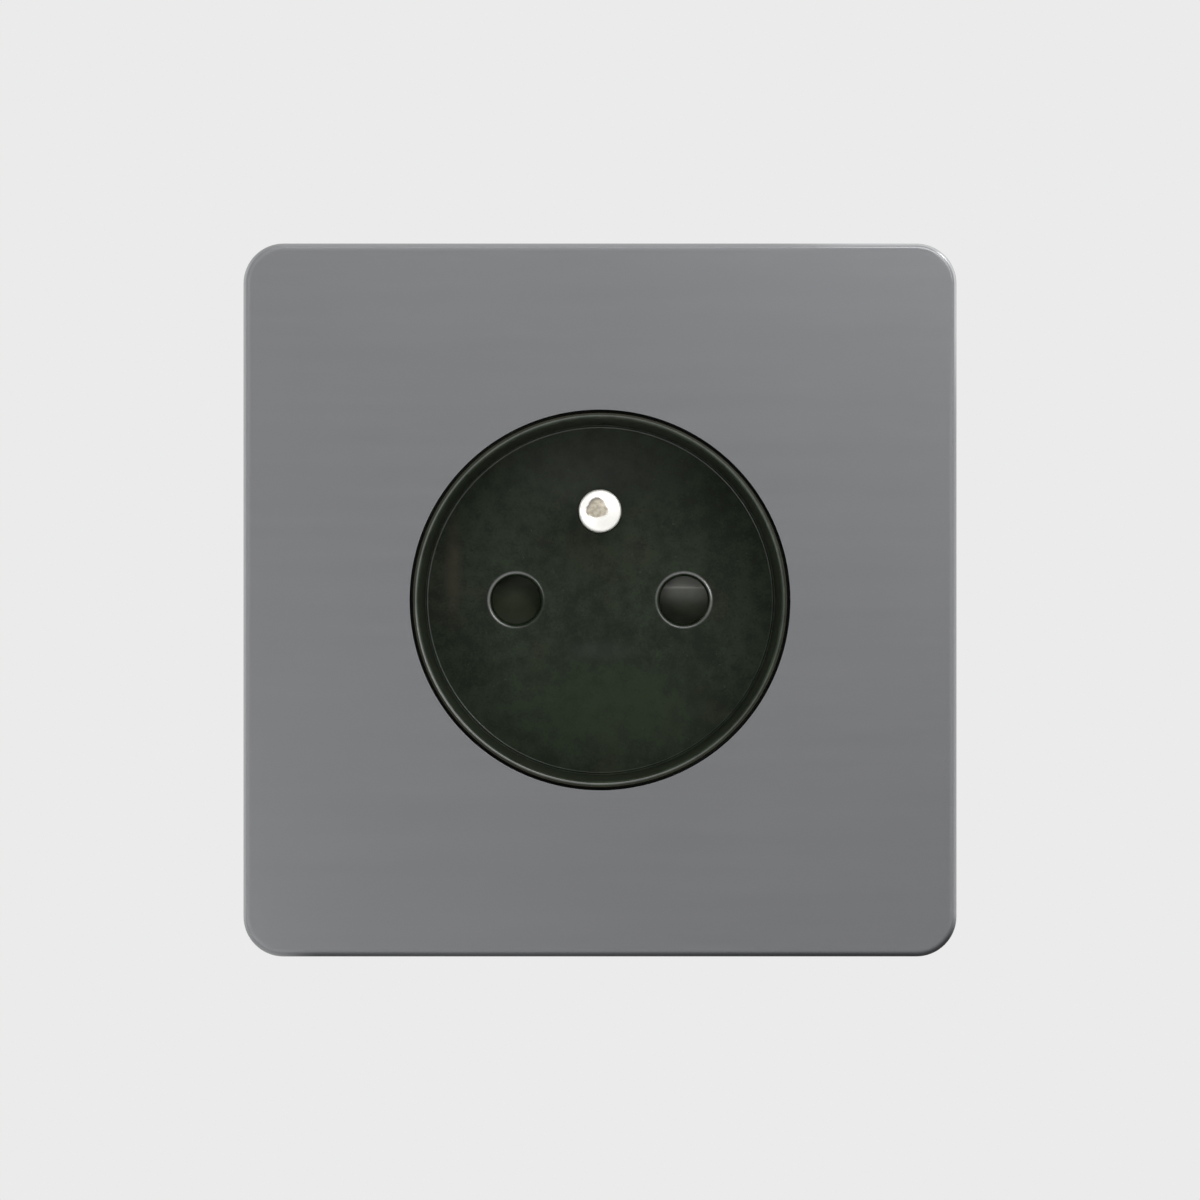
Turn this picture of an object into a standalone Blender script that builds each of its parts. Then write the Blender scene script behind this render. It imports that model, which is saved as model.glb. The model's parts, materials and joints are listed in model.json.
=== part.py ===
"""Single flush wall socket: a square metal plate, a black well, shuttered pin holes and an earth pin.

Metres. The socket is drawn lying on its back: x runs to the right, y runs up the wall and z comes out of the
wall, with z = 0 at the wall's face and the origin at the plate's centre. The empty "wall" stands the drawing
up, so that the finished socket faces -Y with +Z up.
"""

import math

import bmesh
import bpy
from mathutils import Matrix, Vector

# Fits
SEAT_GAP = 0.0003  # between two pieces that rest on each other or pass through each other
EASY_GAP = 0.0004  # round what is pushed in by hand or sprung in

# Support frame, screwed to a flush box
BOX_PITCH = 0.060  # between the centres of opposite box screws
BOX_SLOT_WIDTH = 0.0038
BOX_SLOT_SWEEP = math.radians(9)  # each side of the slot's middle
BOX_SCREW_HEAD = 0.0032  # radius of the head that has to sit on the frame
FRAME_EDGE = 0.005  # from the pitch line to the frame's edge
FRAME_THICKNESS = 0.0012
FRAME_CORNER = 0.006

# Carrier, the moulded frame that the face plate is fixed to
CARRIER_RIM = 0.0017
CARRIER_WEB = 0.0019
CARRIER_CORNER = 0.0032
HOOK_THICKNESS = 0.0014
HOOK_WIDTH = 0.005
HOOK_LENGTH = 0.0025  # behind the frame
HOOK_BARB = 0.0009
HOOK_HEIGHT = 0.013  # of its middle, above and below the centre

# Face plate
PLATE_OVERHANG = 0.003
PLATE_THICKNESS = 0.002
PLATE_CORNER = 0.0045
PLATE_EDGE = 0.0006  # rounding of the plate's edges
STUD_RADIUS = 0.0015
STUD_LENGTH = 0.0015
STUD_INSET = 0.0055  # from the carrier's edge

# Well that the plug goes into
WELL_RADIUS = 0.01985  # at the floor
WELL_DRAFT = math.radians(1.3)
WELL_DEPTH = 0.015
WELL_FILLET = 0.0005
RIM_WIDTH = 0.0008
RIM_PROUD = 0.0004
PLATE_HOLE_GAP = 0.00034  # round the rim
FLOOR_THICKNESS = 0.002
FLANGE_LAND = 0.005
FLANGE_THICKNESS = 0.002
FLANGE_CORNER = 0.008

# Plug
PIN_SPACING = 0.019
PIN_LENGTH = 0.019
PIN_HOLE_RADIUS = 0.0029
PIN_INLET = 0.0004  # width of the inlet's chamfer
EARTH_HEIGHT = 0.010  # of the earth pin above the pin holes
EARTH_RADIUS = 0.0024
EARTH_SETBACK = 0.001  # of its tip below the rim
EARTH_TIP_ROUND = 0.0009
EARTH_SPIGOT_RADIUS = 0.0013
EARTH_RIVET_RADIUS = 0.002
EARTH_RIVET_HEIGHT = 0.0005

# Screws and pegs that join the front to the base, on the corners of the flange
FIXING_LAND = 0.0065  # from the well's outside to their axes
FIXING_RADIUS = 0.0012
FIXING_LENGTH = 0.0095
FIXING_HEAD_RADIUS = 0.0023
FIXING_HEAD_HEIGHT = 0.001
PEG_RADIUS = 0.0015
PEG_LENGTH = 0.0045
POST_WALL = 0.0018  # round a peg's or a screw's hole in the base
POST_TAPER = math.radians(1.5)
POST_LAND = 0.0004  # of the ledge past the foot of a post

# Rotary shutter
SHUTTER_THICKNESS = 0.005
SHUTTER_WEB = 0.002
SHUTTER_EDGE = 0.0009  # thickness at the foot of a ramp
SHUTTER_LAP = 0.0003  # of a wing past the foot of the pin hole
SHUTTER_TOP_LAP = 0.0007
SHUTTER_SIDE_LAP = 0.0005
RIGHT_RAMP_TOP = 0.0015  # from the pin's axis to the top of the ramp
LEFT_RAMP_TOP = 0.0033
RAMP_LEAD = 0.25  # steepness where a ramp starts, as a share of its mean
HUB_RADIUS = 0.0052
POST_RADIUS = 0.0019
POST_GAP = 0.0002
CHAMBER_GAP = 0.0016
HOUSING_WALL = 0.0015
HOUSING_BACK = 0.0012
SPRING_RADIUS = 0.0031
SPRING_WIRE = 0.0005
SPRING_TURNS = 2.5
SPRING_PITCH = 0.0008
SPRING_NOTCH = 0.0012

# Contacts, folded from strip
STRIP_THICKNESS = 0.0007
CONTACT_WIDTH = 0.006
CONTACT_THROAT = 0.0042  # between the two leaves where they grip the pin
CONTACT_BELLY = 0.0055
CONTACT_FLARE = 0.001
CONTACT_BEND = 0.0008
CONTACT_LAP = 0.0004
TAIL_WIDTH = 0.005
EARTH_BAR_WIDTH = 0.004

# Terminals, three cages side by side below the contacts
TERMINAL_SPACING = 0.0098
TERMINAL_HEIGHT = -0.0122
CAGE_WIDTH = 0.0076
CAGE_HEIGHT = 0.008
CAGE_TAIL_ROOM = 0.0028  # between the cages' backs and the strip behind them
CAGE_WALL = 0.0009
CAGE_CORNER = 0.0006
PAD_THICKNESS = 0.0008
PAD_DROP = 0.0016  # from the cage's middle to the pad's top
WIRE_HOLE_RADIUS = 0.0014
WIRE_HOLE_SPACING = 0.0029
WIRE_HOLE_RISE = 0.0004
WIRE_INLET = 0.0005
CLAMP_SCREW_RADIUS = 0.0015
CLAMP_HEAD_RADIUS = 0.0023
CLAMP_HEAD_HEIGHT = 0.0017
CLAMP_HEAD_DEPTH = 0.0011  # below the base's outside
SLOT_WIDTH = 0.0007
SLOT_DEPTH = 0.0006

# Base, the housing behind the wall
BASE_WALL = 0.0016
BASE_BACK = 0.002
BASE_CORNER = 0.005
BASE_EDGE = 0.0006
BASE_TAPER = 0.001  # of each side, from the ledge to the back
RIB_THICKNESS = 0.0012
RIB_HEIGHT = 0.0025
CORE_WALL = 0.0016  # between a cored-out hollow and what is next to it
MARK_PANEL_WIDTH = 0.024
MARK_PANEL_HEIGHT = 0.009
MARK_PANEL_DEPTH = 0.0004
STRIP_GAUGE_LENGTH = 0.011  # how far a wire is stripped
STRIP_GAUGE_WIDTH = 0.0016
STRIP_GAUGE_DEPTH = 0.0008
FIN_THICKNESS = 0.0009
FIN_HEIGHT = 0.0014
FIN_REACH = 0.0036  # above and below the wire holes
LEDGE_THICKNESS = 0.003
POCKET_BACK_GAP = 0.0003

# Facets
ROUND_STEPS = 72
HOLE_STEPS = 32
SMALL_STEPS = 20
ARC_STEPS = 6
OVERCUT = 0.001  # how far a cutter runs past the face it opens

# Sizes that follow
frame_half = BOX_PITCH / 2 + FRAME_EDGE
carrier_pocket_half = frame_half + SEAT_GAP
carrier_half = carrier_pocket_half + CARRIER_RIM
plate_half = carrier_half + PLATE_OVERHANG

rim_inner = WELL_RADIUS + WELL_DEPTH * math.tan(WELL_DRAFT)
well_outer = rim_inner + RIM_WIDTH
plate_hole = well_outer + PLATE_HOLE_GAP
frame_opening = well_outer + EASY_GAP
flange_half = well_outer + FLANGE_LAND
fixing_offset = (well_outer + FIXING_LAND) / math.sqrt(2)
pin_x = PIN_SPACING / 2

# Levels, from the front to the back
carrier_web_back = FRAME_THICKNESS + SEAT_GAP
carrier_front = carrier_web_back + CARRIER_WEB
plate_back = carrier_front + SEAT_GAP
plate_front = plate_back + PLATE_THICKNESS
rim_top = plate_front + RIM_PROUD
earth_tip = rim_top - EARTH_SETBACK
flange_back = FRAME_THICKNESS + SEAT_GAP
flange_front = flange_back + FLANGE_THICKNESS
floor_front = rim_top - WELL_DEPTH
floor_back = floor_front - FLOOR_THICKNESS
shutter_front = floor_back - EASY_GAP
shutter_back = shutter_front - SHUTTER_THICKNESS
shutter_web = shutter_front - SHUTTER_WEB
housing_floor = shutter_back - SEAT_GAP
housing_back = housing_floor - HOUSING_BACK
bore_floor = housing_back - SEAT_GAP
pin_end = floor_front - PIN_LENGTH
contact_inside = pin_end - SEAT_GAP
contact_back = contact_inside - STRIP_THICKNESS
cage_front = bore_floor - SEAT_GAP
cage_back = contact_inside + CAGE_TAIL_ROOM
cage_middle = (cage_front + cage_back) / 2
rivet_back = contact_back - SEAT_GAP - EARTH_RIVET_HEIGHT
pocket_back = rivet_back - POCKET_BACK_GAP
base_back = pocket_back - BASE_BACK
base_front = -SEAT_GAP
ledge = floor_back - SEAT_GAP

wing_reach = pin_x + PIN_HOLE_RADIUS + SHUTTER_SIDE_LAP
wing_top = PIN_HOLE_RADIUS + SHUTTER_TOP_LAP
wing_foot = -PIN_HOLE_RADIUS - SHUTTER_LAP
chamber_radius = math.hypot(wing_reach, wing_top) + CHAMBER_GAP
housing_radius = chamber_radius + HOUSING_WALL
housing_bore = housing_radius + SEAT_GAP
spring_room = SPRING_RADIUS + SPRING_WIRE / 2 + 2 * SEAT_GAP

screw_end = flange_front - FIXING_HEAD_HEIGHT - 2 * SEAT_GAP - FIXING_LENGTH
corner_post_radius = PEG_RADIUS + SEAT_GAP + POST_WALL
post_root = ledge - LEDGE_THICKNESS / 2
post_root_radius = corner_post_radius + (base_front - post_root) * math.tan(POST_TAPER)
ledge_corner = post_root_radius + POST_LAND
ledge_half = fixing_offset + ledge_corner
ledge_back = ledge - LEDGE_THICKNESS

cage_top = TERMINAL_HEIGHT + CAGE_HEIGHT / 2
cage_foot = TERMINAL_HEIGHT - CAGE_HEIGHT / 2
tail_top = cage_top - CAGE_WALL - SEAT_GAP
pad_top = TERMINAL_HEIGHT - PAD_DROP
clamp_head_top = cage_foot - SEAT_GAP
clamp_head_foot = clamp_head_top - CLAMP_HEAD_HEIGHT
base_half = housing_bore + BASE_WALL
base_foot = clamp_head_foot - CLAMP_HEAD_DEPTH


def clear_scene():
    for old in list(bpy.data.objects):
        bpy.data.objects.remove(old)


def collection(name):
    made = bpy.data.collections.new(name)
    bpy.context.scene.collection.children.link(made)
    return made


def material(name, colour, roughness, metallic=0.0):
    made = bpy.data.materials.new(name)
    made.use_nodes = True
    shader = made.node_tree.nodes["Principled BSDF"]
    shader.inputs["Base Color"].default_value = (*colour, 1.0)
    shader.inputs["Roughness"].default_value = roughness
    shader.inputs["Metallic"].default_value = metallic
    return made


clear_scene()
parts = collection("single_wall_socket")
cutters = collection("cutters")
wall = bpy.data.objects.new("wall", None)
wall.rotation_euler = (math.radians(90), 0, 0)
parts.objects.link(wall)

satin_metal = material("satin grey metal", (0.21, 0.215, 0.215), 0.38, 1.0)
black_plastic = material("black moulded plastic", (0.02, 0.025, 0.02), 0.35)
carrier_plastic = material("black carrier plastic", (0.03, 0.03, 0.03), 0.6)
base_plastic = material("light grey plastic", (0.55, 0.55, 0.53), 0.5)
zinc_steel = material("zinc plated steel", (0.6, 0.61, 0.62), 0.35, 1.0)
nickel = material("nickel plated brass", (0.75, 0.73, 0.68), 0.2, 1.0)
brass = material("brass", (0.78, 0.6, 0.28), 0.3, 1.0)
bronze = material("phosphor bronze", (0.7, 0.45, 0.26), 0.3, 1.0)
spring_steel = material("spring steel", (0.5, 0.5, 0.5), 0.3, 1.0)


# Outlines, as lists of (x, y)


def arc(radius, start, end, centre=(0, 0), steps=ARC_STEPS):
    """Points on an arc, both ends included."""
    turn = (end - start) / steps
    angles = [start + turn * i for i in range(steps + 1)]
    return [
        (centre[0] + radius * math.cos(a), centre[1] + radius * math.sin(a))
        for a in angles
    ]


def circle(radius, centre=(0, 0), steps=HOLE_STEPS):
    return arc(radius, 0, 2 * math.pi, centre, steps)[:-1]


def rounded_rectangle(left, right, foot, top, radius):
    """Anticlockwise outline with a quarter circle at each corner."""
    corners = [
        (right - radius, foot + radius, -90),
        (right - radius, top - radius, 0),
        (left + radius, top - radius, 90),
        (left + radius, foot + radius, 180),
    ]
    return [
        point
        for x, y, angle in corners
        for point in arc(radius, math.radians(angle), math.radians(angle + 90), (x, y))
    ]


def rounded_square(half, radius):
    return rounded_rectangle(-half, half, -half, half, radius)


def arc_slot(radius, middle, sweep, width):
    """A slot that follows a circle, with round ends."""
    first, last = middle - sweep, middle + sweep
    outer = arc(radius + width / 2, first, last)
    inner = arc(radius - width / 2, last, first)
    far_end = (radius * math.cos(last), radius * math.sin(last))
    near_end = (radius * math.cos(first), radius * math.sin(first))
    far_round = arc(width / 2, last, last + math.pi, far_end)[1:-1]
    near_round = arc(width / 2, first + math.pi, first + 2 * math.pi, near_end)[1:-1]
    return outer + far_round + inner + near_round


def rounded_path(points, radius, steps=ARC_STEPS):
    """An open path with its corners rounded."""
    made = [Vector(points[0])]
    for before, corner, after in zip(points, points[1:], points[2:]):
        to_before = (Vector(before) - Vector(corner)).normalized()
        to_after = (Vector(after) - Vector(corner)).normalized()
        half_angle = to_before.angle(to_after) / 2
        centre = Vector(corner) + (to_before + to_after).normalized() * (
            radius / math.sin(half_angle)
        )
        reach = radius / math.tan(half_angle)
        start = Vector(corner) + to_before * reach - centre
        end = Vector(corner) + to_after * reach - centre
        made += [centre + radius * start.slerp(end, i / steps) for i in range(steps + 1)]
    return made + [Vector(points[-1])]


# Solids


def place(obj, paint=None, group=parts):
    """Adds an object to the drawing."""
    group.objects.link(obj)
    obj.parent = wall
    if paint:
        obj.data.materials.append(paint)
    return obj


def as_cutter(obj):
    """Moves a solid to the cutters, where it only shapes others."""
    for group in list(obj.users_collection):
        group.objects.unlink(obj)
    cutters.objects.link(obj)
    obj.hide_render = True
    obj.display_type = "WIRE"
    return obj


def flat(name, loops, back, front, paint=None):
    """A flat piece from closed outlines, the first round the outside and the others round its holes."""
    outline = bpy.data.curves.new(name, "CURVE")
    outline.dimensions = "2D"
    outline.fill_mode = "BOTH"
    outline.extrude = (front - back) / 2
    for loop in loops:
        spline = outline.splines.new("POLY")
        spline.points.add(len(loop) - 1)
        for point, (x, y) in zip(spline.points, loop):
            point.co = (x, y, 0, 1)
        spline.use_cyclic_u = True
    drawn = bpy.data.objects.new(name, outline)
    bpy.context.scene.collection.objects.link(drawn)
    graph = bpy.context.evaluated_depsgraph_get()
    mesh = bpy.data.meshes.new_from_object(drawn.evaluated_get(graph))
    bpy.data.objects.remove(drawn)
    bpy.data.curves.remove(outline)
    shell = bmesh.new()
    shell.from_mesh(mesh)
    bmesh.ops.remove_doubles(shell, verts=shell.verts, dist=1e-7)
    bmesh.ops.recalc_face_normals(shell, faces=shell.faces)
    shell.to_mesh(mesh)
    shell.free()
    mesh.name = name
    obj = bpy.data.objects.new(name, mesh)
    obj.location.z = (front + back) / 2
    return place(obj, paint)


def turned(name, profile, steps, paint=None):
    """A solid turned about z. The profile's (radius, z) points run down its outside."""
    mesh = bpy.data.meshes.new(name)
    edges = [(i, i + 1) for i in range(len(profile) - 1)]
    closed = profile[0][0] > 0
    if closed:
        edges.append((len(profile) - 1, 0))
    mesh.from_pydata([(radius, 0, z) for radius, z in profile], edges, [])
    obj = bpy.data.objects.new(name, mesh)
    spin = obj.modifiers.new("turn", "SCREW")
    spin.steps = steps
    spin.render_steps = steps
    spin.use_merge_vertices = True
    spin.merge_threshold = 1e-6
    spin.use_smooth_shade = True
    return place(obj, paint)


def cylinder(name, radius, back, front, centre=(0, 0), steps=HOLE_STEPS, paint=None):
    """A straight round bar along z."""
    mesh = bpy.data.meshes.new(name)
    bar = bmesh.new()
    bmesh.ops.create_cone(
        bar,
        cap_ends=True,
        segments=steps,
        radius1=radius,
        radius2=radius,
        depth=front - back,
    )
    bar.to_mesh(mesh)
    bar.free()
    obj = bpy.data.objects.new(name, mesh)
    obj.location = (*centre, (front + back) / 2)
    return place(obj, paint)


def cone(name, back_radius, front_radius, back, front, centre, steps=HOLE_STEPS):
    mesh = bpy.data.meshes.new(name)
    taper = bmesh.new()
    bmesh.ops.create_cone(
        taper,
        cap_ends=True,
        segments=steps,
        radius1=back_radius,
        radius2=front_radius,
        depth=front - back,
    )
    taper.to_mesh(mesh)
    taper.free()
    obj = bpy.data.objects.new(name, mesh)
    obj.location = (*centre, (front + back) / 2)
    return place(obj)


def block(name, x, y, z, paint=None):
    """A box between the pairs x, y and z."""
    mesh = bpy.data.meshes.new(name)
    cube = bmesh.new()
    bmesh.ops.create_cube(cube, size=1)
    size = Vector((x[1] - x[0], y[1] - y[0], z[1] - z[0]))
    middle = Vector((x[0] + x[1], y[0] + y[1], z[0] + z[1])) / 2
    cube.transform(Matrix.Translation(middle) @ Matrix.Diagonal((*size, 1)))
    cube.to_mesh(mesh)
    cube.free()
    return place(bpy.data.objects.new(name, mesh), paint)


def prism(name, outline, low, high, along, paint=None):
    """An outline of (u, z) points drawn out along an axis: "x" takes u as y, "y" takes u as x."""
    mesh = bpy.data.meshes.new(name)
    bar = bmesh.new()
    where = {"x": lambda u, z: (low, u, z), "y": lambda u, z: (u, low, z)}[along]
    ring = [bar.verts.new(where(u, z)) for u, z in outline]
    end = bar.faces.new(ring)
    step = Vector((high - low, 0, 0)) if along == "x" else Vector((0, high - low, 0))
    grown = bmesh.ops.extrude_face_region(bar, geom=[end])["geom"]
    moved = [item for item in grown if isinstance(item, bmesh.types.BMVert)]
    bmesh.ops.translate(bar, verts=moved, vec=step)
    bmesh.ops.recalc_face_normals(bar, faces=bar.faces)
    bar.to_mesh(mesh)
    bar.free()
    return place(bpy.data.objects.new(name, mesh), paint)


def lofted(name, ends, paint=None):
    """A solid between two outlines that have the same number of points."""
    mesh = bpy.data.meshes.new(name)
    solid = bmesh.new()
    first, last = [[solid.verts.new(point) for point in end] for end in ends]
    solid.faces.new(first)
    solid.faces.new(last)
    for i in range(len(first)):
        solid.faces.new((first[i - 1], first[i], last[i], last[i - 1]))
    bmesh.ops.recalc_face_normals(solid, faces=solid.faces)
    solid.to_mesh(mesh)
    solid.free()
    return place(bpy.data.objects.new(name, mesh), paint)


def inlet_hole(name, radius, inlet, mouth, end, steps):
    """A cutter for a round hole from its mouth to its end, wider by the inlet at the mouth."""
    outward = math.copysign(inlet, mouth - end)
    profile = [
        (0, mouth + outward),
        (radius + 2 * inlet, mouth + outward),
        (radius, mouth - outward),
        (radius, end),
        (0, end),
    ]
    if mouth < end:
        profile.reverse()
    return turned(name, profile, steps)


def folded_strip(name, path, low, high, along, paint=None):
    """Sheet strip that follows a path of (u, z) points and is as wide as low to high along the axis."""
    mesh = bpy.data.meshes.new(name)
    strip = bmesh.new()
    lines = []
    for side in (low, high):
        if along == "x":
            lines.append([strip.verts.new((side, u, z)) for u, z in path])
        else:
            lines.append([strip.verts.new((u, side, z)) for u, z in path])
    for i in range(len(path) - 1):
        strip.faces.new(
            (lines[0][i], lines[0][i + 1], lines[1][i + 1], lines[1][i])
        )
    strip.to_mesh(mesh)
    strip.free()
    obj = bpy.data.objects.new(name, mesh)
    sheet = obj.modifiers.new("thickness", "SOLIDIFY")
    sheet.thickness = STRIP_THICKNESS
    sheet.offset = 0
    sheet.use_even_offset = True
    return place(obj, paint)


def cut(target, *tools):
    for tool in tools:
        change = target.modifiers.new("cut " + tool.name, "BOOLEAN")
        change.operation = "DIFFERENCE"
        change.object = as_cutter(tool)
    return target


def join(target, *added):
    for piece in added:
        change = target.modifiers.new("join " + piece.name, "BOOLEAN")
        change.operation = "UNION"
        change.object = as_cutter(piece)
    return target


def soften(obj, width, segments=2, angle=35):
    """Rounds the sharp edges."""
    edges = obj.modifiers.new("edges", "BEVEL")
    edges.width = width
    edges.segments = segments
    edges.limit_method = "ANGLE"
    edges.angle_limit = math.radians(angle)
    return obj


def slotted_screw(name, head_radius, head_height, shank_radius, shank_length, paint):
    """A screw along z with its head's seat at z = 0 and its shank below."""
    chamfer = SLOT_DEPTH / 3
    profile = [
        (0, head_height),
        (head_radius - chamfer, head_height),
        (head_radius, head_height - chamfer),
        (head_radius, 0),
        (shank_radius, 0),
        (shank_radius, chamfer - shank_length),
        (shank_radius - chamfer, -shank_length),
        (0, -shank_length),
    ]
    screw = turned(name, profile, SMALL_STEPS, paint)
    reach = head_radius + OVERCUT
    half = SLOT_WIDTH / 2
    depth = (head_height - SLOT_DEPTH, head_height + OVERCUT)
    slot = block(name + " slot", (-reach, reach), (-half, half), depth)
    slot.parent = screw
    return cut(screw, slot)


# Pieces in front of the wall


def face_plate():
    """Solid metal plate with soft edges and four studs at the back."""
    loops = [rounded_square(plate_half, PLATE_CORNER), circle(plate_hole, steps=ROUND_STEPS)]
    plate = flat("face_plate", loops, plate_back, plate_front, satin_metal)
    soften(plate, PLATE_EDGE, 3)
    at = carrier_half - STUD_INSET
    root = plate_back + PLATE_THICKNESS / 2
    for x in (-at, at):
        for y in (-at, at):
            tip = plate_back - STUD_LENGTH
            join(plate, cylinder("stud", STUD_RADIUS, tip, root, (x, y), SMALL_STEPS))
    return plate


def carrier_hook(x_side, y):
    """Snap hook that reaches back through the frame."""
    near = flange_half + EASY_GAP + HOOK_THICKNESS / 3
    far = near + HOOK_THICKNESS
    outline = [
        (near, carrier_front - CARRIER_WEB / 2),
        (near, -HOOK_LENGTH),
        (far, -HOOK_LENGTH),
        (far + HOOK_BARB, -SEAT_GAP),
        (far, -SEAT_GAP),
        (far, carrier_front - CARRIER_WEB / 2),
    ]
    outline = [(x_side * u, z) for u, z in outline]
    low = y - HOOK_WIDTH / 2
    return prism("hook", outline, low, low + HOOK_WIDTH, "y")


def hook_slot(x_side, y):
    """The frame's window for a hook."""
    near = flange_half + EASY_GAP + HOOK_THICKNESS / 3 - EASY_GAP
    far = near + HOOK_THICKNESS + 2 * EASY_GAP
    left, right = sorted((x_side * near, x_side * far))
    half = HOOK_WIDTH / 2 + SEAT_GAP
    return rounded_rectangle(left, right, y - half, y + half, EASY_GAP)


def plate_carrier():
    """Moulded frame between the plate and the wall, open in the middle and over the box screws."""
    outside = [rounded_square(carrier_half, CARRIER_CORNER)]
    carrier = flat("plate_carrier", outside, 0, carrier_front, carrier_plastic)
    deep, high = -OVERCUT, carrier_front + OVERCUT
    pocket_corner = FRAME_CORNER + SEAT_GAP
    pocket = flat(
        "frame pocket", [rounded_square(carrier_pocket_half, pocket_corner)], deep, carrier_web_back
    )
    opening_half = flange_half + EASY_GAP
    opening = flat(
        "flange opening",
        [rounded_square(opening_half, FLANGE_CORNER + EASY_GAP)],
        deep,
        high,
    )
    cut(carrier, pocket, opening)
    across = BOX_SCREW_HEAD + EASY_GAP
    along = BOX_PITCH / 2 * math.sin(BOX_SLOT_SWEEP) + across
    for quarter in range(4):
        bay = flat(
            "screw bay",
            [
                rounded_rectangle(
                    flange_half, BOX_PITCH / 2 + across, -along, along, across / 2
                )
            ],
            deep,
            high,
        )
        bay.rotation_euler.z = quarter * math.pi / 2
        cut(carrier, bay)
    at = carrier_half - STUD_INSET
    for x in (-at, at):
        for y in (-at, at):
            hole = cylinder("stud hole", STUD_RADIUS + SEAT_GAP, deep, high, (x, y), SMALL_STEPS)
            cut(carrier, hole)
    for x_side in (-1, 1):
        for y in (-HOOK_HEIGHT, HOOK_HEIGHT):
            join(carrier, carrier_hook(x_side, y))
    return carrier


def support_frame():
    """Pressed steel frame that the box screws hold against the wall."""
    loops = [
        rounded_square(frame_half, FRAME_CORNER),
        circle(frame_opening, steps=ROUND_STEPS),
    ]
    for quarter in range(4):
        middle = quarter * math.pi / 2
        loops.append(arc_slot(BOX_PITCH / 2, middle, BOX_SLOT_SWEEP, BOX_SLOT_WIDTH))
    for x_side in (-1, 1):
        for y in (-HOOK_HEIGHT, HOOK_HEIGHT):
            loops.append(hook_slot(x_side, y))
        screw_at = (x_side * fixing_offset, x_side * fixing_offset)
        peg_at = (x_side * fixing_offset, -x_side * fixing_offset)
        loops.append(circle(FIXING_RADIUS + SEAT_GAP, screw_at, SMALL_STEPS))
        loops.append(circle(PEG_RADIUS + SEAT_GAP, peg_at, SMALL_STEPS))
    return flat("support_frame", loops, 0, FRAME_THICKNESS, zinc_steel)


# Well and its mechanism


def socket_front():
    """Black moulding: rim, well, floor with its inlets, and the flange behind the plate with its pegs."""
    crest = RIM_WIDTH / 2
    rim = [
        (well_outer - crest + crest * math.cos(a), rim_top - crest + crest * math.sin(a))
        for a in [math.pi * i / 8 for i in range(8, -1, -1)]
    ]
    fillet = arc(
        WELL_FILLET,
        math.radians(-90),
        0,
        (WELL_RADIUS - WELL_FILLET, floor_front + WELL_FILLET),
        4,
    )
    profile = [(0, floor_front), *fillet, *rim, (well_outer, floor_back), (0, floor_back)]
    moulding = turned("socket_front", profile, ROUND_STEPS, black_plastic)
    ring = [
        rounded_square(flange_half, FLANGE_CORNER),
        circle(well_outer - RIM_WIDTH / 2, steps=ROUND_STEPS),
    ]
    join(moulding, flat("flange", ring, flange_back, flange_front))
    behind, ahead = floor_back - OVERCUT, floor_front + OVERCUT
    for x in (-pin_x, pin_x):
        hole = inlet_hole("pin hole", PIN_HOLE_RADIUS, PIN_INLET, floor_front, behind, HOLE_STEPS)
        hole.location.x = x
        cut(moulding, hole)
    earth_hole = cylinder(
        "earth hole", EARTH_RADIUS + SEAT_GAP, behind, ahead, (0, EARTH_HEIGHT)
    )
    cut(moulding, earth_hole)
    for side in (-1, 1):
        at = (side * fixing_offset, side * fixing_offset)
        shank = cylinder(
            "screw hole", FIXING_RADIUS + SEAT_GAP, 0, flange_front + OVERCUT, at, SMALL_STEPS
        )
        seat = flange_front - FIXING_HEAD_HEIGHT - 2 * SEAT_GAP
        head = cylinder(
            "screw seat", FIXING_HEAD_RADIUS + SEAT_GAP, seat, flange_front + OVERCUT, at, SMALL_STEPS
        )
        cut(moulding, shank, head)
        opposite = (side * fixing_offset, -side * fixing_offset)
        root = flange_back + FLANGE_THICKNESS / 2
        peg = cylinder("peg", PEG_RADIUS, flange_back - PEG_LENGTH, root, opposite, SMALL_STEPS)
        join(moulding, peg)
    return moulding


def earth_pin():
    """Turned pin with a domed tip, riveted to the earth bar at its back end."""
    dome_centre = (EARTH_RADIUS - EARTH_TIP_ROUND, earth_tip - EARTH_TIP_ROUND)
    dome = arc(EARTH_TIP_ROUND, math.radians(90), 0, dome_centre)
    shoulder = contact_inside + SEAT_GAP
    profile = [
        (0, earth_tip),
        *dome,
        (EARTH_RADIUS, shoulder),
        (EARTH_SPIGOT_RADIUS, shoulder),
        (EARTH_SPIGOT_RADIUS, contact_back - SEAT_GAP),
        (EARTH_RIVET_RADIUS, contact_back - SEAT_GAP),
        (EARTH_RIVET_RADIUS, rivet_back),
        (0, rivet_back),
    ]
    pin = turned("earth_pin", profile, HOLE_STEPS, nickel)
    pin.location.y = EARTH_HEIGHT
    return pin


def shutter_wing(name, ramp_top):
    """A wing with a flat land above its pin's axis and a ramp that gets steeper towards its foot."""
    fall = SHUTTER_THICKNESS - SHUTTER_EDGE
    ramp = []
    for step in range(ARC_STEPS + 1):
        t = step / ARC_STEPS
        height = ramp_top + (wing_foot - ramp_top) * t
        ramp.append((height, shutter_front - fall * (RAMP_LEAD * t + (1 - RAMP_LEAD) * t * t)))
    outline = [*ramp, (wing_foot, shutter_back), (wing_top, shutter_back), (wing_top, shutter_front)]
    return prism(name, outline, HUB_RADIUS / 2, wing_reach, "x")


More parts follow.
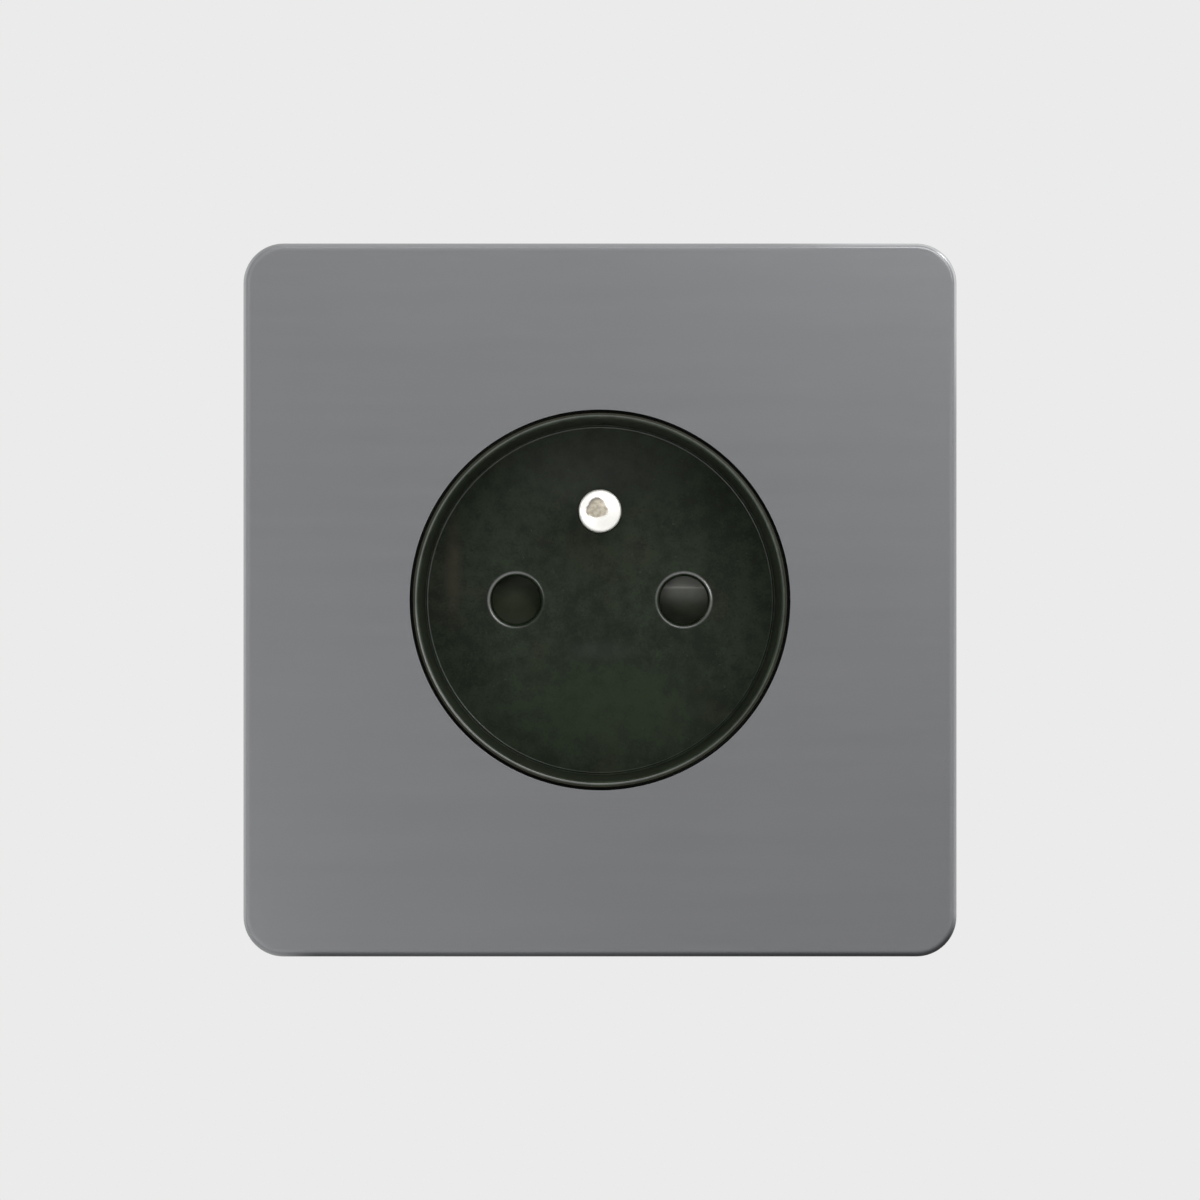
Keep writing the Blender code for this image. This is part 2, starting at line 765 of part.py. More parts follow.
def shutter():
    """Rotary shutter: a hub with two wings that close the pin holes. Pins push on both ramps and turn it."""
    hub = cylinder("shutter", HUB_RADIUS, shutter_back, shutter_front, paint=black_plastic)
    left = shutter_wing("left wing", LEFT_RAMP_TOP)
    left.rotation_euler.z = math.pi
    join(hub, shutter_wing("right wing", RIGHT_RAMP_TOP), left)
    bore = cylinder(
        "bore", POST_RADIUS + POST_GAP, shutter_back - OVERCUT, shutter_front + OVERCUT
    )
    room = cylinder("spring room", spring_room, shutter_back - OVERCUT, shutter_web)
    notch_half = SPRING_NOTCH / 2
    notch = block(
        "spring notch",
        (-notch_half, notch_half),
        (-HUB_RADIUS - OVERCUT, -POST_RADIUS),
        (shutter_back - OVERCUT, shutter_web),
    )
    return cut(hub, bore, room, notch)


def spring_leg_angle():
    return -math.pi / 2 + 2 * math.pi * SPRING_TURNS


def shutter_housing():
    """Cup behind the well's floor, with the post that the shutter turns on and holes for the pins."""
    profile = [
        (chamber_radius, housing_floor),
        (chamber_radius, floor_back - SEAT_GAP),
        (housing_radius, floor_back - SEAT_GAP),
        (housing_radius, housing_back),
        (0, housing_back),
    ]
    cup = turned("shutter_housing", [(0, housing_floor), *profile], ROUND_STEPS, base_plastic)
    post_root = housing_floor - HOUSING_BACK / 2
    join(cup, cylinder("post", POST_RADIUS, post_root, floor_back - SEAT_GAP))
    behind, ahead = housing_back - OVERCUT, housing_floor + OVERCUT
    for x in (-pin_x, pin_x):
        cut(cup, cylinder("pin hole", PIN_HOLE_RADIUS, behind, ahead, (x, 0)))
    cut(cup, cylinder("earth hole", EARTH_RADIUS + SEAT_GAP, behind, ahead, (0, EARTH_HEIGHT)))
    leg = spring_leg_angle()
    at = (SPRING_RADIUS * math.cos(leg), SPRING_RADIUS * math.sin(leg))
    cut(cup, cylinder("leg hole", SPRING_WIRE / 2 + SEAT_GAP, behind, ahead, at, SMALL_STEPS))
    return cup


def shutter_spring():
    """Torsion spring round the post: one leg in the shutter's notch, the other in the housing."""
    top = shutter_web - SEAT_GAP - SPRING_WIRE / 2
    start = -math.pi / 2
    count = round(SPRING_TURNS * 16)
    points = [(0, -HUB_RADIUS + SPRING_WIRE, top)]
    for i in range(count + 1):
        turn = 2 * math.pi * SPRING_TURNS * i / count
        angle = start + turn
        z = top - SPRING_PITCH * turn / (2 * math.pi)
        points.append((SPRING_RADIUS * math.cos(angle), SPRING_RADIUS * math.sin(angle), z))
    x, y, _ = points[-1]
    points.append((x, y, housing_back + SEAT_GAP))
    wire = bpy.data.curves.new("shutter_spring", "CURVE")
    wire.dimensions = "3D"
    wire.bevel_depth = SPRING_WIRE / 2
    wire.bevel_resolution = 2
    wire.use_fill_caps = True
    spline = wire.splines.new("POLY")
    spline.points.add(len(points) - 1)
    for point, co in zip(spline.points, points):
        point.co = (*co, 1)
    return place(bpy.data.objects.new("shutter_spring", wire), spring_steel)


# Contacts and terminals


def pin_contact(name, side):
    """Two leaves that grip the plug's pin, folded from one strip, and the tail down to the cage."""
    skin = STRIP_THICKNESS / 2
    throat = CONTACT_THROAT / 2 + skin
    belly = CONTACT_BELLY / 2 + skin
    lip_z = bore_floor - SEAT_GAP
    leaf_length = lip_z - contact_inside
    leaf = [
        (throat + CONTACT_FLARE, lip_z),
        (throat, lip_z - leaf_length * 0.24),
        (belly, lip_z - leaf_length * 0.58),
        (belly, contact_inside - skin),
    ]
    path = [(-u, z) for u, z in leaf] + leaf[::-1]
    path = rounded_path(path, CONTACT_BEND, 3)
    path = [(side * pin_x + u, z) for u, z in path]
    half = CONTACT_WIDTH / 2
    contact = folded_strip(name, path, -half, half, "y", bronze)
    centre = side * TERMINAL_SPACING
    lap = contact_inside - skin - STRIP_THICKNESS + CONTACT_LAP
    tail = [
        (half - skin, lap),
        (tail_top - skin, lap),
        (tail_top - skin, cage_front + skin),
    ]
    tail = rounded_path(tail, CONTACT_BEND, 3)
    tail_half = TAIL_WIDTH / 2
    strip = folded_strip(
        name + " tail", tail, centre - tail_half, centre + tail_half, "x"
    )
    return join(contact, strip)


def earth_bar():
    """Strip from the earth pin down to the middle cage."""
    skin = STRIP_THICKNESS / 2
    level = contact_inside - skin
    top = EARTH_HEIGHT + EARTH_RADIUS + SEAT_GAP
    path = [(top, level), (tail_top - skin, level), (tail_top - skin, cage_front + skin)]
    path = rounded_path(path, CONTACT_BEND, 3)
    half = EARTH_BAR_WIDTH / 2
    bar = folded_strip("earth_bar", path, -half, half, "x", brass)
    hole = cylinder(
        "rivet hole",
        EARTH_SPIGOT_RADIUS + SEAT_GAP,
        contact_back - OVERCUT,
        contact_inside + OVERCUT,
        (0, EARTH_HEIGHT),
        SMALL_STEPS,
    )
    return cut(bar, hole)


def upright(name, radius, low, high, x):
    """A round bar that stands in the plane of the cages' middles, along y."""
    bar = cylinder(name, radius, -(high - low) / 2, (high - low) / 2, steps=SMALL_STEPS)
    bar.location = (x, (low + high) / 2, cage_middle)
    bar.rotation_euler.x = math.radians(90)
    return bar


def terminal(name, x):
    """Cage, pad and screw that clamp two wires against the tail."""
    half = CAGE_WIDTH / 2
    inside = half - CAGE_WALL
    outer = rounded_rectangle(x - half, x + half, cage_foot, cage_top, CAGE_CORNER)
    inner = [
        (x - inside, cage_foot + CAGE_WALL),
        (x + inside, cage_foot + CAGE_WALL),
        (x + inside, cage_top - CAGE_WALL),
        (x - inside, cage_top - CAGE_WALL),
    ]
    cage = flat(name + "_cage", [outer, inner], cage_back, cage_front, zinc_steel)
    low, high = cage_foot - OVERCUT, cage_foot + 2 * CAGE_WALL
    hole = upright("clamp hole", CLAMP_SCREW_RADIUS + SEAT_GAP, low, high, x)
    cut(cage, hole)
    reach = inside - SEAT_GAP
    pad_half = (cage_front - cage_back) / 2 - SEAT_GAP
    block(
        name + "_pad",
        (x - reach, x + reach),
        (pad_top - PAD_THICKNESS, pad_top),
        (cage_middle - pad_half, cage_middle + pad_half),
        brass,
    )
    shank = pad_top - PAD_THICKNESS - SEAT_GAP - clamp_head_top
    screw = slotted_screw(
        name + "_screw", CLAMP_HEAD_RADIUS, CLAMP_HEAD_HEIGHT, CLAMP_SCREW_RADIUS, shank, zinc_steel
    )
    screw.location = (x, clamp_head_top, cage_middle)
    screw.rotation_euler.x = math.radians(90)


def fixing_screw(name, side):
    seat = flange_front - FIXING_HEAD_HEIGHT - SEAT_GAP
    length = FIXING_LENGTH
    screw = slotted_screw(
        name, FIXING_HEAD_RADIUS, FIXING_HEAD_HEIGHT, FIXING_RADIUS, length, zinc_steel
    )
    screw.location = (side * fixing_offset, side * fixing_offset, seat)
    screw.rotation_euler.z = side * math.radians(20)


# Base


def base_body():
    """The base's outside: a ledge behind the well, four posts up to the frame and the terminal block."""
    outline = [rounded_square(ledge_half, ledge_corner)]
    base = flat("base", outline, ledge_back, ledge, base_plastic)
    for x in (-fixing_offset, fixing_offset):
        for y in (-fixing_offset, fixing_offset):
            post = cone("post", post_root_radius, corner_post_radius, post_root, base_front, (x, y))
            join(base, post)
    near = well_outer + EASY_GAP
    for quarter in range(4):
        along, across = (-fixing_offset, fixing_offset), (near, near + RIB_THICKNESS)
        rib = block("rib", along, across, (post_root, ledge + RIB_HEIGHT))
        rib.rotation_euler.z = quarter * math.pi / 2
        join(base, rib)
    join(base, terminal_block(ledge_back + OVERCUT))
    for x in (-TERMINAL_SPACING / 2, TERMINAL_SPACING / 2):
        fin = [x - FIN_THICKNESS / 2, x + FIN_THICKNESS / 2]
        rise = [TERMINAL_HEIGHT - FIN_REACH, TERMINAL_HEIGHT + FIN_REACH]
        join(base, block("fin", fin, rise, (base_back - FIN_HEIGHT, base_back + OVERCUT)))
    return base


def terminal_block(front):
    """The part behind the ledge. It tapers to the back, where its edges are rounded."""
    ends = []
    for z, inset in ((front, 0), (base_back, BASE_TAPER)):
        half = base_half - inset
        outline = rounded_rectangle(-half, half, base_foot, half, BASE_CORNER - inset)
        ends.append([(x, y, z) for x, y in outline])
    rear = lofted("terminal block", ends)
    return soften(rear, BASE_EDGE, 2, 60)


def contact_pockets(base):
    """Pockets for the contacts and cages, all open to the front so that the metal drops in."""
    room = SEAT_GAP
    leaf_half = CONTACT_THROAT / 2 + STRIP_THICKNESS + CONTACT_FLARE + room
    tail_half = TAIL_WIDTH / 2 + room
    cage_half = CAGE_WIDTH / 2 + room
    top = CONTACT_WIDTH / 2 + room
    front = ledge + OVERCUT
    tail_foot = tail_top - STRIP_THICKNESS - room
    for side in (-1, 1):
        leaves = [side * pin_x - leaf_half, side * pin_x + leaf_half]
        cut(base, block("leaf pocket", leaves, (-top, top), (pocket_back, front)))
    for x in (-TERMINAL_SPACING, 0, TERMINAL_SPACING):
        cage = [x - cage_half, x + cage_half]
        high = cage_top + room
        low = cage_foot - room
        cut(base, block("cage pocket", cage, (low, high), (cage_back - room, front)))
        tail = [x - tail_half, x + tail_half]
        cut(base, block("tail pocket", tail, (tail_foot, 0), (pocket_back, cage_front)))
    bar = EARTH_BAR_WIDTH / 2 + room
    bar_top = EARTH_HEIGHT + EARTH_RADIUS + SEAT_GAP + room
    cut(base, block("bar pocket", (-bar, bar), (0, bar_top), (pocket_back, front)))
    pin = cylinder("pin bore", EARTH_RADIUS + room, pocket_back, front, (0, EARTH_HEIGHT))
    cut(base, pin)


def cored_hollows(base):
    """Hollows beside the earth pin, so that no wall is thick enough to sink as it cools."""
    near = EARTH_RADIUS + SEAT_GAP + CORE_WALL
    low = CONTACT_WIDTH / 2 + SEAT_GAP + CORE_WALL
    far = (housing_bore - CORE_WALL) / math.sqrt(2)
    for side in (-1, 1):
        left, right = sorted((side * near, side * far))
        outline = rounded_rectangle(left, right, low, far, CORE_WALL)
        cut(base, flat("core", [outline], pocket_back, bore_floor + OVERCUT))


def back_details(base):
    """Blank panel for marks and a groove that shows how far to strip a wire."""
    half = MARK_PANEL_WIDTH / 2
    middle = base_half / 2
    low, high = middle - MARK_PANEL_HEIGHT / 2, middle + MARK_PANEL_HEIGHT / 2
    panel = rounded_rectangle(-half, half, low, high, MARK_PANEL_HEIGHT / 6)
    cut(base, flat("mark panel", [panel], base_back - OVERCUT, base_back + MARK_PANEL_DEPTH))
    reach = STRIP_GAUGE_LENGTH / 2
    width = STRIP_GAUGE_WIDTH / 2
    groove = rounded_rectangle(-reach, reach, -width, width, width * 0.9)
    cut(base, flat("strip gauge", [groove], base_back - OVERCUT, base_back + STRIP_GAUGE_DEPTH))


def base_holes(base):
    """Wire entries at the back, screwdriver holes below, and the holes in the posts."""
    wire_height = TERMINAL_HEIGHT + WIRE_HOLE_RISE
    for x in (-TERMINAL_SPACING, 0, TERMINAL_SPACING):
        for side in (-1, 1):
            hole = inlet_hole(
                "wire hole", WIRE_HOLE_RADIUS, WIRE_INLET, base_back, cage_middle, SMALL_STEPS
            )
            hole.location = (x + side * WIRE_HOLE_SPACING / 2, wire_height, 0)
            cut(base, hole)
        driver = upright("driver hole", CLAMP_HEAD_RADIUS + SEAT_GAP, base_foot - OVERCUT, cage_foot, x)
        cut(base, driver)
    for side in (-1, 1):
        at = (side * fixing_offset, side * fixing_offset)
        opposite = (side * fixing_offset, -side * fixing_offset)
        screw_hole = cylinder(
            "screw bore", FIXING_RADIUS + SEAT_GAP, screw_end, OVERCUT, at, SMALL_STEPS
        )
        peg_end = flange_back - PEG_LENGTH - SEAT_GAP
        peg_hole = cylinder("peg bore", PEG_RADIUS + SEAT_GAP, peg_end, OVERCUT, opposite, SMALL_STEPS)
        cut(base, screw_hole, peg_hole)


def rear_base():
    base = base_body()
    cut(base, cylinder("housing bore", housing_bore, bore_floor, ledge + OVERCUT, steps=ROUND_STEPS))
    contact_pockets(base)
    cored_hollows(base)
    base_holes(base)
    back_details(base)
    return base


face_plate()
plate_carrier()
support_frame()
socket_front()
earth_pin()
shutter()
shutter_housing()
shutter_spring()
pin_contact("line_contact", 1)
pin_contact("neutral_contact", -1)
earth_bar()
terminal("line", TERMINAL_SPACING)
terminal("neutral", -TERMINAL_SPACING)
terminal("earth", 0)
fixing_screw("upper_fixing_screw", 1)
fixing_screw("lower_fixing_screw", -1)
rear_base()
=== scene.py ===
# %% [markdown]
# # A wall socket with a satin metal plate
#
# The mechanical model is already there: every piece of the socket is a solid of its own, in metres, with
# +Z up and the wall along the plane y = 0. This notebook dresses it. Some pieces get a finer mesh in
# place of the solid, all of them get a finish, and at the end come the studio and the camera.
#
# The pieces keep the places and sizes of the solids, so most measures below are read from their boxes.
# The few that a box doesn't tell are named: the depth of the well, the spacing of its pin holes and the
# rings round it.

# %% Load the solids
import json
import math

import bmesh
import bpy
from mathutils import Matrix, Vector

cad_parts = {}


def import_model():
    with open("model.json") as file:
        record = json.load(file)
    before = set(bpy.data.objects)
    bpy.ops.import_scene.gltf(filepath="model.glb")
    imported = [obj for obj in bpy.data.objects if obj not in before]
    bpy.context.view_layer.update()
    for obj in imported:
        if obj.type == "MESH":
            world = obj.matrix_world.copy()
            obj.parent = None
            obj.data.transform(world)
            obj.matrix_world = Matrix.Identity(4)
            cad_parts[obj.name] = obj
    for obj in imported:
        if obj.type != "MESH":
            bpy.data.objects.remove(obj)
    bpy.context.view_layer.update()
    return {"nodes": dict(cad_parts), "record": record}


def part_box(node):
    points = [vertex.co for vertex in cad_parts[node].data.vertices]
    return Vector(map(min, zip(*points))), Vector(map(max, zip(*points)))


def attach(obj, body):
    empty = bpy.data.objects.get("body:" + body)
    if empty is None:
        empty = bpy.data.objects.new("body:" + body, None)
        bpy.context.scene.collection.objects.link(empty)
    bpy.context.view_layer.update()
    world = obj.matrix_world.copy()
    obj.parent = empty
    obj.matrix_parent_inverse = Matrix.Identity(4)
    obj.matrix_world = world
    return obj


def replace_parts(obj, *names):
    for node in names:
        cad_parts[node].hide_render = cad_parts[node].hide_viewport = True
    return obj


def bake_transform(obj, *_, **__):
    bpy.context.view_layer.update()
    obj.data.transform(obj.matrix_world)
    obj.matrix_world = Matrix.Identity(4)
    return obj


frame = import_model()
solids = frame["nodes"]
print("solids:", ", ".join(sorted(solids)))

# %% [markdown]
# ## Measuring the solids
#
# A front view is easiest to draw with x to the right, y up and z towards the viewer. The socket looks
# along -Y, so drawn z is world -y and drawn y is world z. `levels` gives a solid's back and front in
# drawn z.
#
# Four circles round the well's axis are used by both the shapes and the finishes: the outside of the
# moulding, the crest of its rim, the edge of its floor and the bead on the floor.


# %% Sizes
MM = 0.001
SEAT_GAP = 0.3 * MM
PLATE_CORNER = 4.5 * MM
WELL_DEPTH = 15 * MM
FLOOR_THICKNESS = 2 * MM
WELL_OUTER = 20.99 * MM
RIM_RADIUS = 20.65 * MM
FLOOR_RADIUS = 19.85 * MM
BEAD_RADIUS = 19.56 * MM
PIN_SPACING = 19 * MM
INLET_RING = 3.1 * MM
RIGHT_RAMP = 1.5 * MM


def levels(node):
    """Back and front of a solid, as heights above the wall."""
    low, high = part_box(node)
    return -high.y, -low.y


def half_width(node):
    low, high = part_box(node)
    return (high.x - low.x) / 2


plate_half = half_width("face_plate")
plate_front = levels("face_plate")[1]
plate_back = levels("plate_carrier")[1] + SEAT_GAP
rim_top = levels("socket_front")[1]
floor_front = rim_top - WELL_DEPTH
floor_back = floor_front - FLOOR_THICKNESS
shutter_back, shutter_front = levels("shutter")
earth_back, earth_tip = levels("earth_pin")
earth_radius = half_width("earth_pin")
earth_height = sum(corner.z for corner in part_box("earth_pin")) / 2
flange_half = half_width("socket_front")
wing_reach = half_width("shutter")
pin_x = PIN_SPACING / 2
print("plate width in mm:", round(2 * plate_half / MM, 2))
print("earth pin above the middle in mm:", round(earth_height / MM, 2))

# %% [markdown]
# ## Shape helpers
#
# An outline is a list of points. Arcs are cut into many short steps, because a rounded corner that is
# seen against a pale background shows every facet.


# %% Outlines
def arc(radius, start, end, centre=(0, 0), steps=16):
    """Points on an arc between two angles in degrees, both ends included."""
    turn = (end - start) / steps
    angles = [math.radians(start + turn * i) for i in range(steps + 1)]
    return [(centre[0] + radius * math.cos(a), centre[1] + radius * math.sin(a)) for a in angles]


def circle(radius, centre=(0, 0), steps=96):
    return arc(radius, 0, 360, centre, steps)[:-1]


def rounded_square(half, radius):
    middle = half - radius
    corners = [(1, -1, -90), (1, 1, 0), (-1, 1, 90), (-1, -1, 180)]
    return [
        point
        for right, up, angle in corners
        for point in arc(radius, angle, angle + 90, (right * middle, up * middle))
    ]


# %% [markdown]
# A pressed or moulded edge is never sharp. `stacked` draws the same outline several times, each a little
# smaller and at its own height, and joins them with faces. It is a bevel by hand, which works round a
# tight corner too.
#
# Holes, studs and pegs come from Booleans. Where two nearly level faces meet, a Boolean can drop a sliver
# of a face, so `carve` looks for open edges afterwards and closes them. Each piece stays one closed body.


# %% Solids from outlines
STAND_UP = Matrix.Rotation(math.radians(90), 4, "X")


def add(name, mesh):
    """Puts a mesh in the scene, stood up from the drawing."""
    mesh.transform(STAND_UP)
    made = bpy.data.objects.new(name, mesh)
    bpy.context.scene.collection.objects.link(made)
    return made


def from_bmesh(name, shape):
    bmesh.ops.recalc_face_normals(shape, faces=shape.faces)
    mesh = bpy.data.meshes.new(name)
    shape.to_mesh(mesh)
    shape.free()
    return add(name, mesh)


def stacked(name, outlines):
    """Joins outlines of equal length, each at its own height, and closes both ends.

    They come as (points, z). As (outer, hole, z) the ends are closed between the outline and the hole."""
    shape = bmesh.new()
    walls = list(zip(*[level[:-1] for level in outlines]))
    heights = [level[-1] for level in outlines]
    ends = ([], [])
    for wall in walls:
        rings = [[shape.verts.new((x, y, z)) for x, y in ring] for ring, z in zip(wall, heights)]
        for below, above in zip(rings, rings[1:]):
            for i in range(len(below)):
                shape.faces.new((below[i - 1], below[i], above[i], above[i - 1]))
        for end, ring in zip(ends, (rings[0], rings[-1])):
            end.extend(shape.edges.get((ring[i - 1], ring[i])) for i in range(len(ring)))
    for end in ends:
        bmesh.ops.triangle_fill(shape, edges=end, use_beauty=True)
    return from_bmesh(name, shape)


def turned(name, profile, steps=96, centre=(0, 0)):
    """A solid turned about z from (radius, z) points. A radius of 0 closes it on the axis."""
    shape = bmesh.new()
    rings = []
    for radius, z in profile:
        if radius == 0:
            rings.append([shape.verts.new((*centre, z))] * steps)
        else:
            rings.append([shape.verts.new((x, y, z)) for x, y in circle(radius, centre, steps)])
    for below, above in zip(rings, rings[1:] + rings[:1]):
        for i in range(steps):
            corners = list(dict.fromkeys((below[i - 1], below[i], above[i], above[i - 1])))
            if len(corners) > 2:
                shape.faces.new(corners)
    return from_bmesh(name, shape)


def rod(name, radius, low, high, centre=(0, 0), steps=48):
    return turned(name, [(0, high), (radius, high), (radius, low), (0, low)], steps, centre)


SAME_PLACE = 0.001 * MM


def close_pinholes(mesh):
    """Welds points that nearly meet and fills what is still open."""
    shape = bmesh.new()
    shape.from_mesh(mesh)
    bmesh.ops.remove_doubles(shape, verts=shape.verts, dist=SAME_PLACE)
    bmesh.ops.dissolve_degenerate(shape, edges=shape.edges, dist=SAME_PLACE)
    bmesh.ops.holes_fill(shape, edges=[edge for edge in shape.edges if edge.is_boundary], sides=0)
    bmesh.ops.recalc_face_normals(shape, faces=shape.faces)
    shape.to_mesh(mesh)
    shape.free()


def carve(piece, operation, *tools):
    """Runs Booleans and keeps the result as the piece's mesh. The tools are used up."""
    for tool in tools:
        change = piece.modifiers.new(tool.name, "BOOLEAN")
        change.operation = operation
        change.object = tool
    graph = bpy.context.evaluated_depsgraph_get()
    mesh = bpy.data.meshes.new_from_object(piece.evaluated_get(graph))
    close_pinholes(mesh)
    piece.modifiers.clear()
    piece.data = mesh
    for tool in tools:
        bpy.data.objects.remove(tool)
    return piece


# %% [markdown]
# ## Shading helper
#
# A turned wall should look round and a flat face flat. One small geometry nodes group shades everything
# smooth and keeps the edges sharper than 32 degrees, and a Weighted Normal modifier then makes the large
# faces win. As modifiers they leave the meshes as they are, so the solids can be shaded in the same way
# as the new pieces.


# %% Smooth shading by angle
SHARP = math.radians(32)


def smoothing_group():
    group = bpy.data.node_groups.new("smooth by angle", "GeometryNodeTree")
    group.interface.new_socket("Geometry", in_out="INPUT", socket_type="NodeSocketGeometry")
    group.interface.new_socket("Geometry", in_out="OUTPUT", socket_type="NodeSocketGeometry")
    nodes, links = group.nodes, group.links
    start, end = nodes.new("NodeGroupInput"), nodes.new("NodeGroupOutput")
    faces, edges = nodes.new("GeometryNodeSetShadeSmooth"), nodes.new("GeometryNodeSetShadeSmooth")
    edges.domain = "EDGE"
    edges.inputs["Shade Smooth"].default_value = False
    angle, compare = nodes.new("GeometryNodeInputMeshEdgeAngle"), nodes.new("FunctionNodeCompare")
    compare.inputs["B"].default_value = SHARP
    links.new(start.outputs[0], faces.inputs["Geometry"])
    links.new(faces.outputs[0], edges.inputs["Geometry"])
    links.new(angle.outputs["Unsigned Angle"], compare.inputs["A"])
    links.new(compare.outputs[0], edges.inputs["Selection"])
    links.new(edges.outputs[0], end.inputs[0])
    return group


SMOOTHING = smoothing_group()


def smooth(piece, edge=0):
    """Shades by angle. With an edge width, sharp edges are rounded first."""
    weld = piece.modifiers.new("weld", "WELD")
    weld.merge_threshold = SAME_PLACE
    if edge:
        bevel = piece.modifiers.new("edges", "BEVEL")
        bevel.width = edge
        bevel.segments = 2
        bevel.limit_method = "ANGLE"
        bevel.angle_limit = SHARP
        bevel.use_clamp_overlap = True
    piece.modifiers.new("smooth", "NODES").node_group = SMOOTHING
    weighted = piece.modifiers.new("weighted", "WEIGHTED_NORMAL")
    weighted.keep_sharp = True
    return piece


# %% [markdown]
# ## Writing finishes as sums
#
# A finish is mostly arithmetic on noise: "a little rougher where the grain is, but not on the rim". Wired
# by hand that is a web of Math nodes, so `Wire` wraps a socket and turns + - * / into those nodes.
# `Tree.node` makes any other node from its type, its settings and the values of its sockets.


# %% Wire and Tree
class Wire:
    """A number or colour that varies over a surface."""

    def __init__(self, tree, socket):
        self.tree = tree
        self.socket = socket

    def maths(self, operation, *values):
        return self.tree.node("ShaderNodeMath", {"operation": operation}, dict(enumerate(values)))

    def __add__(self, other):
        return self.maths("ADD", self, other)

    __radd__ = __add__

    def __mul__(self, other):
        return self.maths("MULTIPLY", self, other)

    __rmul__ = __mul__

    def __sub__(self, other):
        return self.maths("SUBTRACT", self, other)

    def __rsub__(self, other):
        return self.maths("SUBTRACT", other, self)

    def __truediv__(self, other):
        return self.maths("DIVIDE", self, other)

    def __pow__(self, other):
        return self.maths("POWER", self, other)

    def __abs__(self):
        return self.maths("ABSOLUTE", self)

    def root(self):
        return self.maths("SQRT", self)

    def step(self, low, high):
        """0 below low, 1 above high, a soft ramp between. With high under low it runs the other way."""
        settings = {"interpolation_type": "SMOOTHSTEP"}
        if low < high:
            return self.tree.node("ShaderNodeMapRange", settings, {0: self, 1: low, 2: high})
        return 1 - self.tree.node("ShaderNodeMapRange", settings, {0: self, 1: high, 2: low})


class Tree:
    """The nodes of a material or of the world."""

    def __init__(self, owner):
        owner.use_nodes = True
        self.nodes = owner.node_tree.nodes
        self.links = owner.node_tree.links

    def feed(self, socket, value):
        if isinstance(value, Wire):
            self.links.new(value.socket, socket)
        else:
            socket.default_value = value

    def node(self, kind, settings=None, values=None, output=0):
        made = self.nodes.new(kind)
        for key, value in (settings or {}).items():
            setattr(made, key, value)
        for key, value in (values or {}).items():
            self.feed(made.inputs[key], value)
        return Wire(self, made.outputs[output])


# %% [markdown]
# `Finish` is a tree round one Principled shader. It measures the surface in world axes and metres,
# because every mesh here has its place in its vertices. A noise is named by the size of its lumps.


# %% Finish
class Finish(Tree):
    """A Principled material that is written as sums of wires."""

    def __init__(self, name, colour, roughness, metallic=0.0, **constants):
        self.material = bpy.data.materials.new(name)
        super().__init__(self.material)
        self.shader = self.nodes["Principled BSDF"]
        self.material.diffuse_color = (*colour, 1)
        self.set(Base_Color=(*colour, 1), Roughness=roughness, Metallic=metallic, **constants)
        self.places = self.node("ShaderNodeTexCoord", output="Object")

    def set(self, **values):
        for key, value in values.items():
            self.feed(self.shader.inputs[key.replace("_", " ")], value)

    def axis(self, letter):
        return self.node("ShaderNodeSeparateXYZ", values={0: self.places}, output=letter)

    def noise(self, size, detail=2.0, stretch=(1, 1, 1)):
        """Noise around 0.5 whose lumps are about that size, stretched along the axes."""
        scale = [1 / s for s in stretch]
        places = self.node("ShaderNodeMapping", values={"Vector": self.places, "Scale": scale})
        values = {"Vector": places, "Scale": 1 / size, "Detail": detail}
        return self.node("ShaderNodeTexNoise", values=values)

    def blend(self, mask, first, second):
        """A colour between two others."""
        first, second = [value if isinstance(value, Wire) else (*value, 1) for value in (first, second)]
        return self.node("ShaderNodeMix", {"data_type": "RGBA"}, {0: mask, 6: first, 7: second}, output=2)

    def bump(self, height, depth):
        """Relief of that many metres where height is 1."""
        values = {"Height": height, "Distance": depth, "Strength": 1.0}
        self.set(Normal=self.node("ShaderNodeBump", values=values, output="Normal"))


# %% [markdown]
# ## The plate's metal
#
# The plate is a satin grey metal. The brush marks run sideways and are far finer than a hair, so they
# can't be seen one by one: they widen the shine across the strokes and leave a faint streak here and
# there. Two noises stretched along x do that, one for single strokes and one for bands of them, plus a
# broad, very weak cloud, because no plated sheet is even all over.
#
# Its rounded edge isn't the same all round. Along the bottom and round the lower right corner its colour
# is
# darker: painted shade, standing in for the darker reflection of what lies below. Elsewhere its colour is
# brighter than the face, most of all at the upper right corner: a painted highlight. Away from that
# corner the edge is also rougher, so that it mirrors no lamp as a hard line. `from_outline` measures how
# far a point lies inside the plate's outline, so all three masks follow the corners.


# %% Satin metal
# Widths of the painted shade, the painted highlight and the rough band on the plate's edge.
DARK_REFLECTION_EDGE = 0.9 * MM
HIGHLIGHT_EDGE = 0.5 * MM
ROUGH_EDGE = 0.9 * MM


def from_outline(finish):
    """How far inside the plate's outline a point lies, near its edge."""
    middle = plate_half - PLATE_CORNER
    across, up = [abs(finish.axis(letter)) - middle for letter in "XZ"]
    beyond = across.maths("MAXIMUM", across, 0) ** 2 + up.maths("MAXIMUM", up, 0) ** 2
    return PLATE_CORNER - beyond.root()


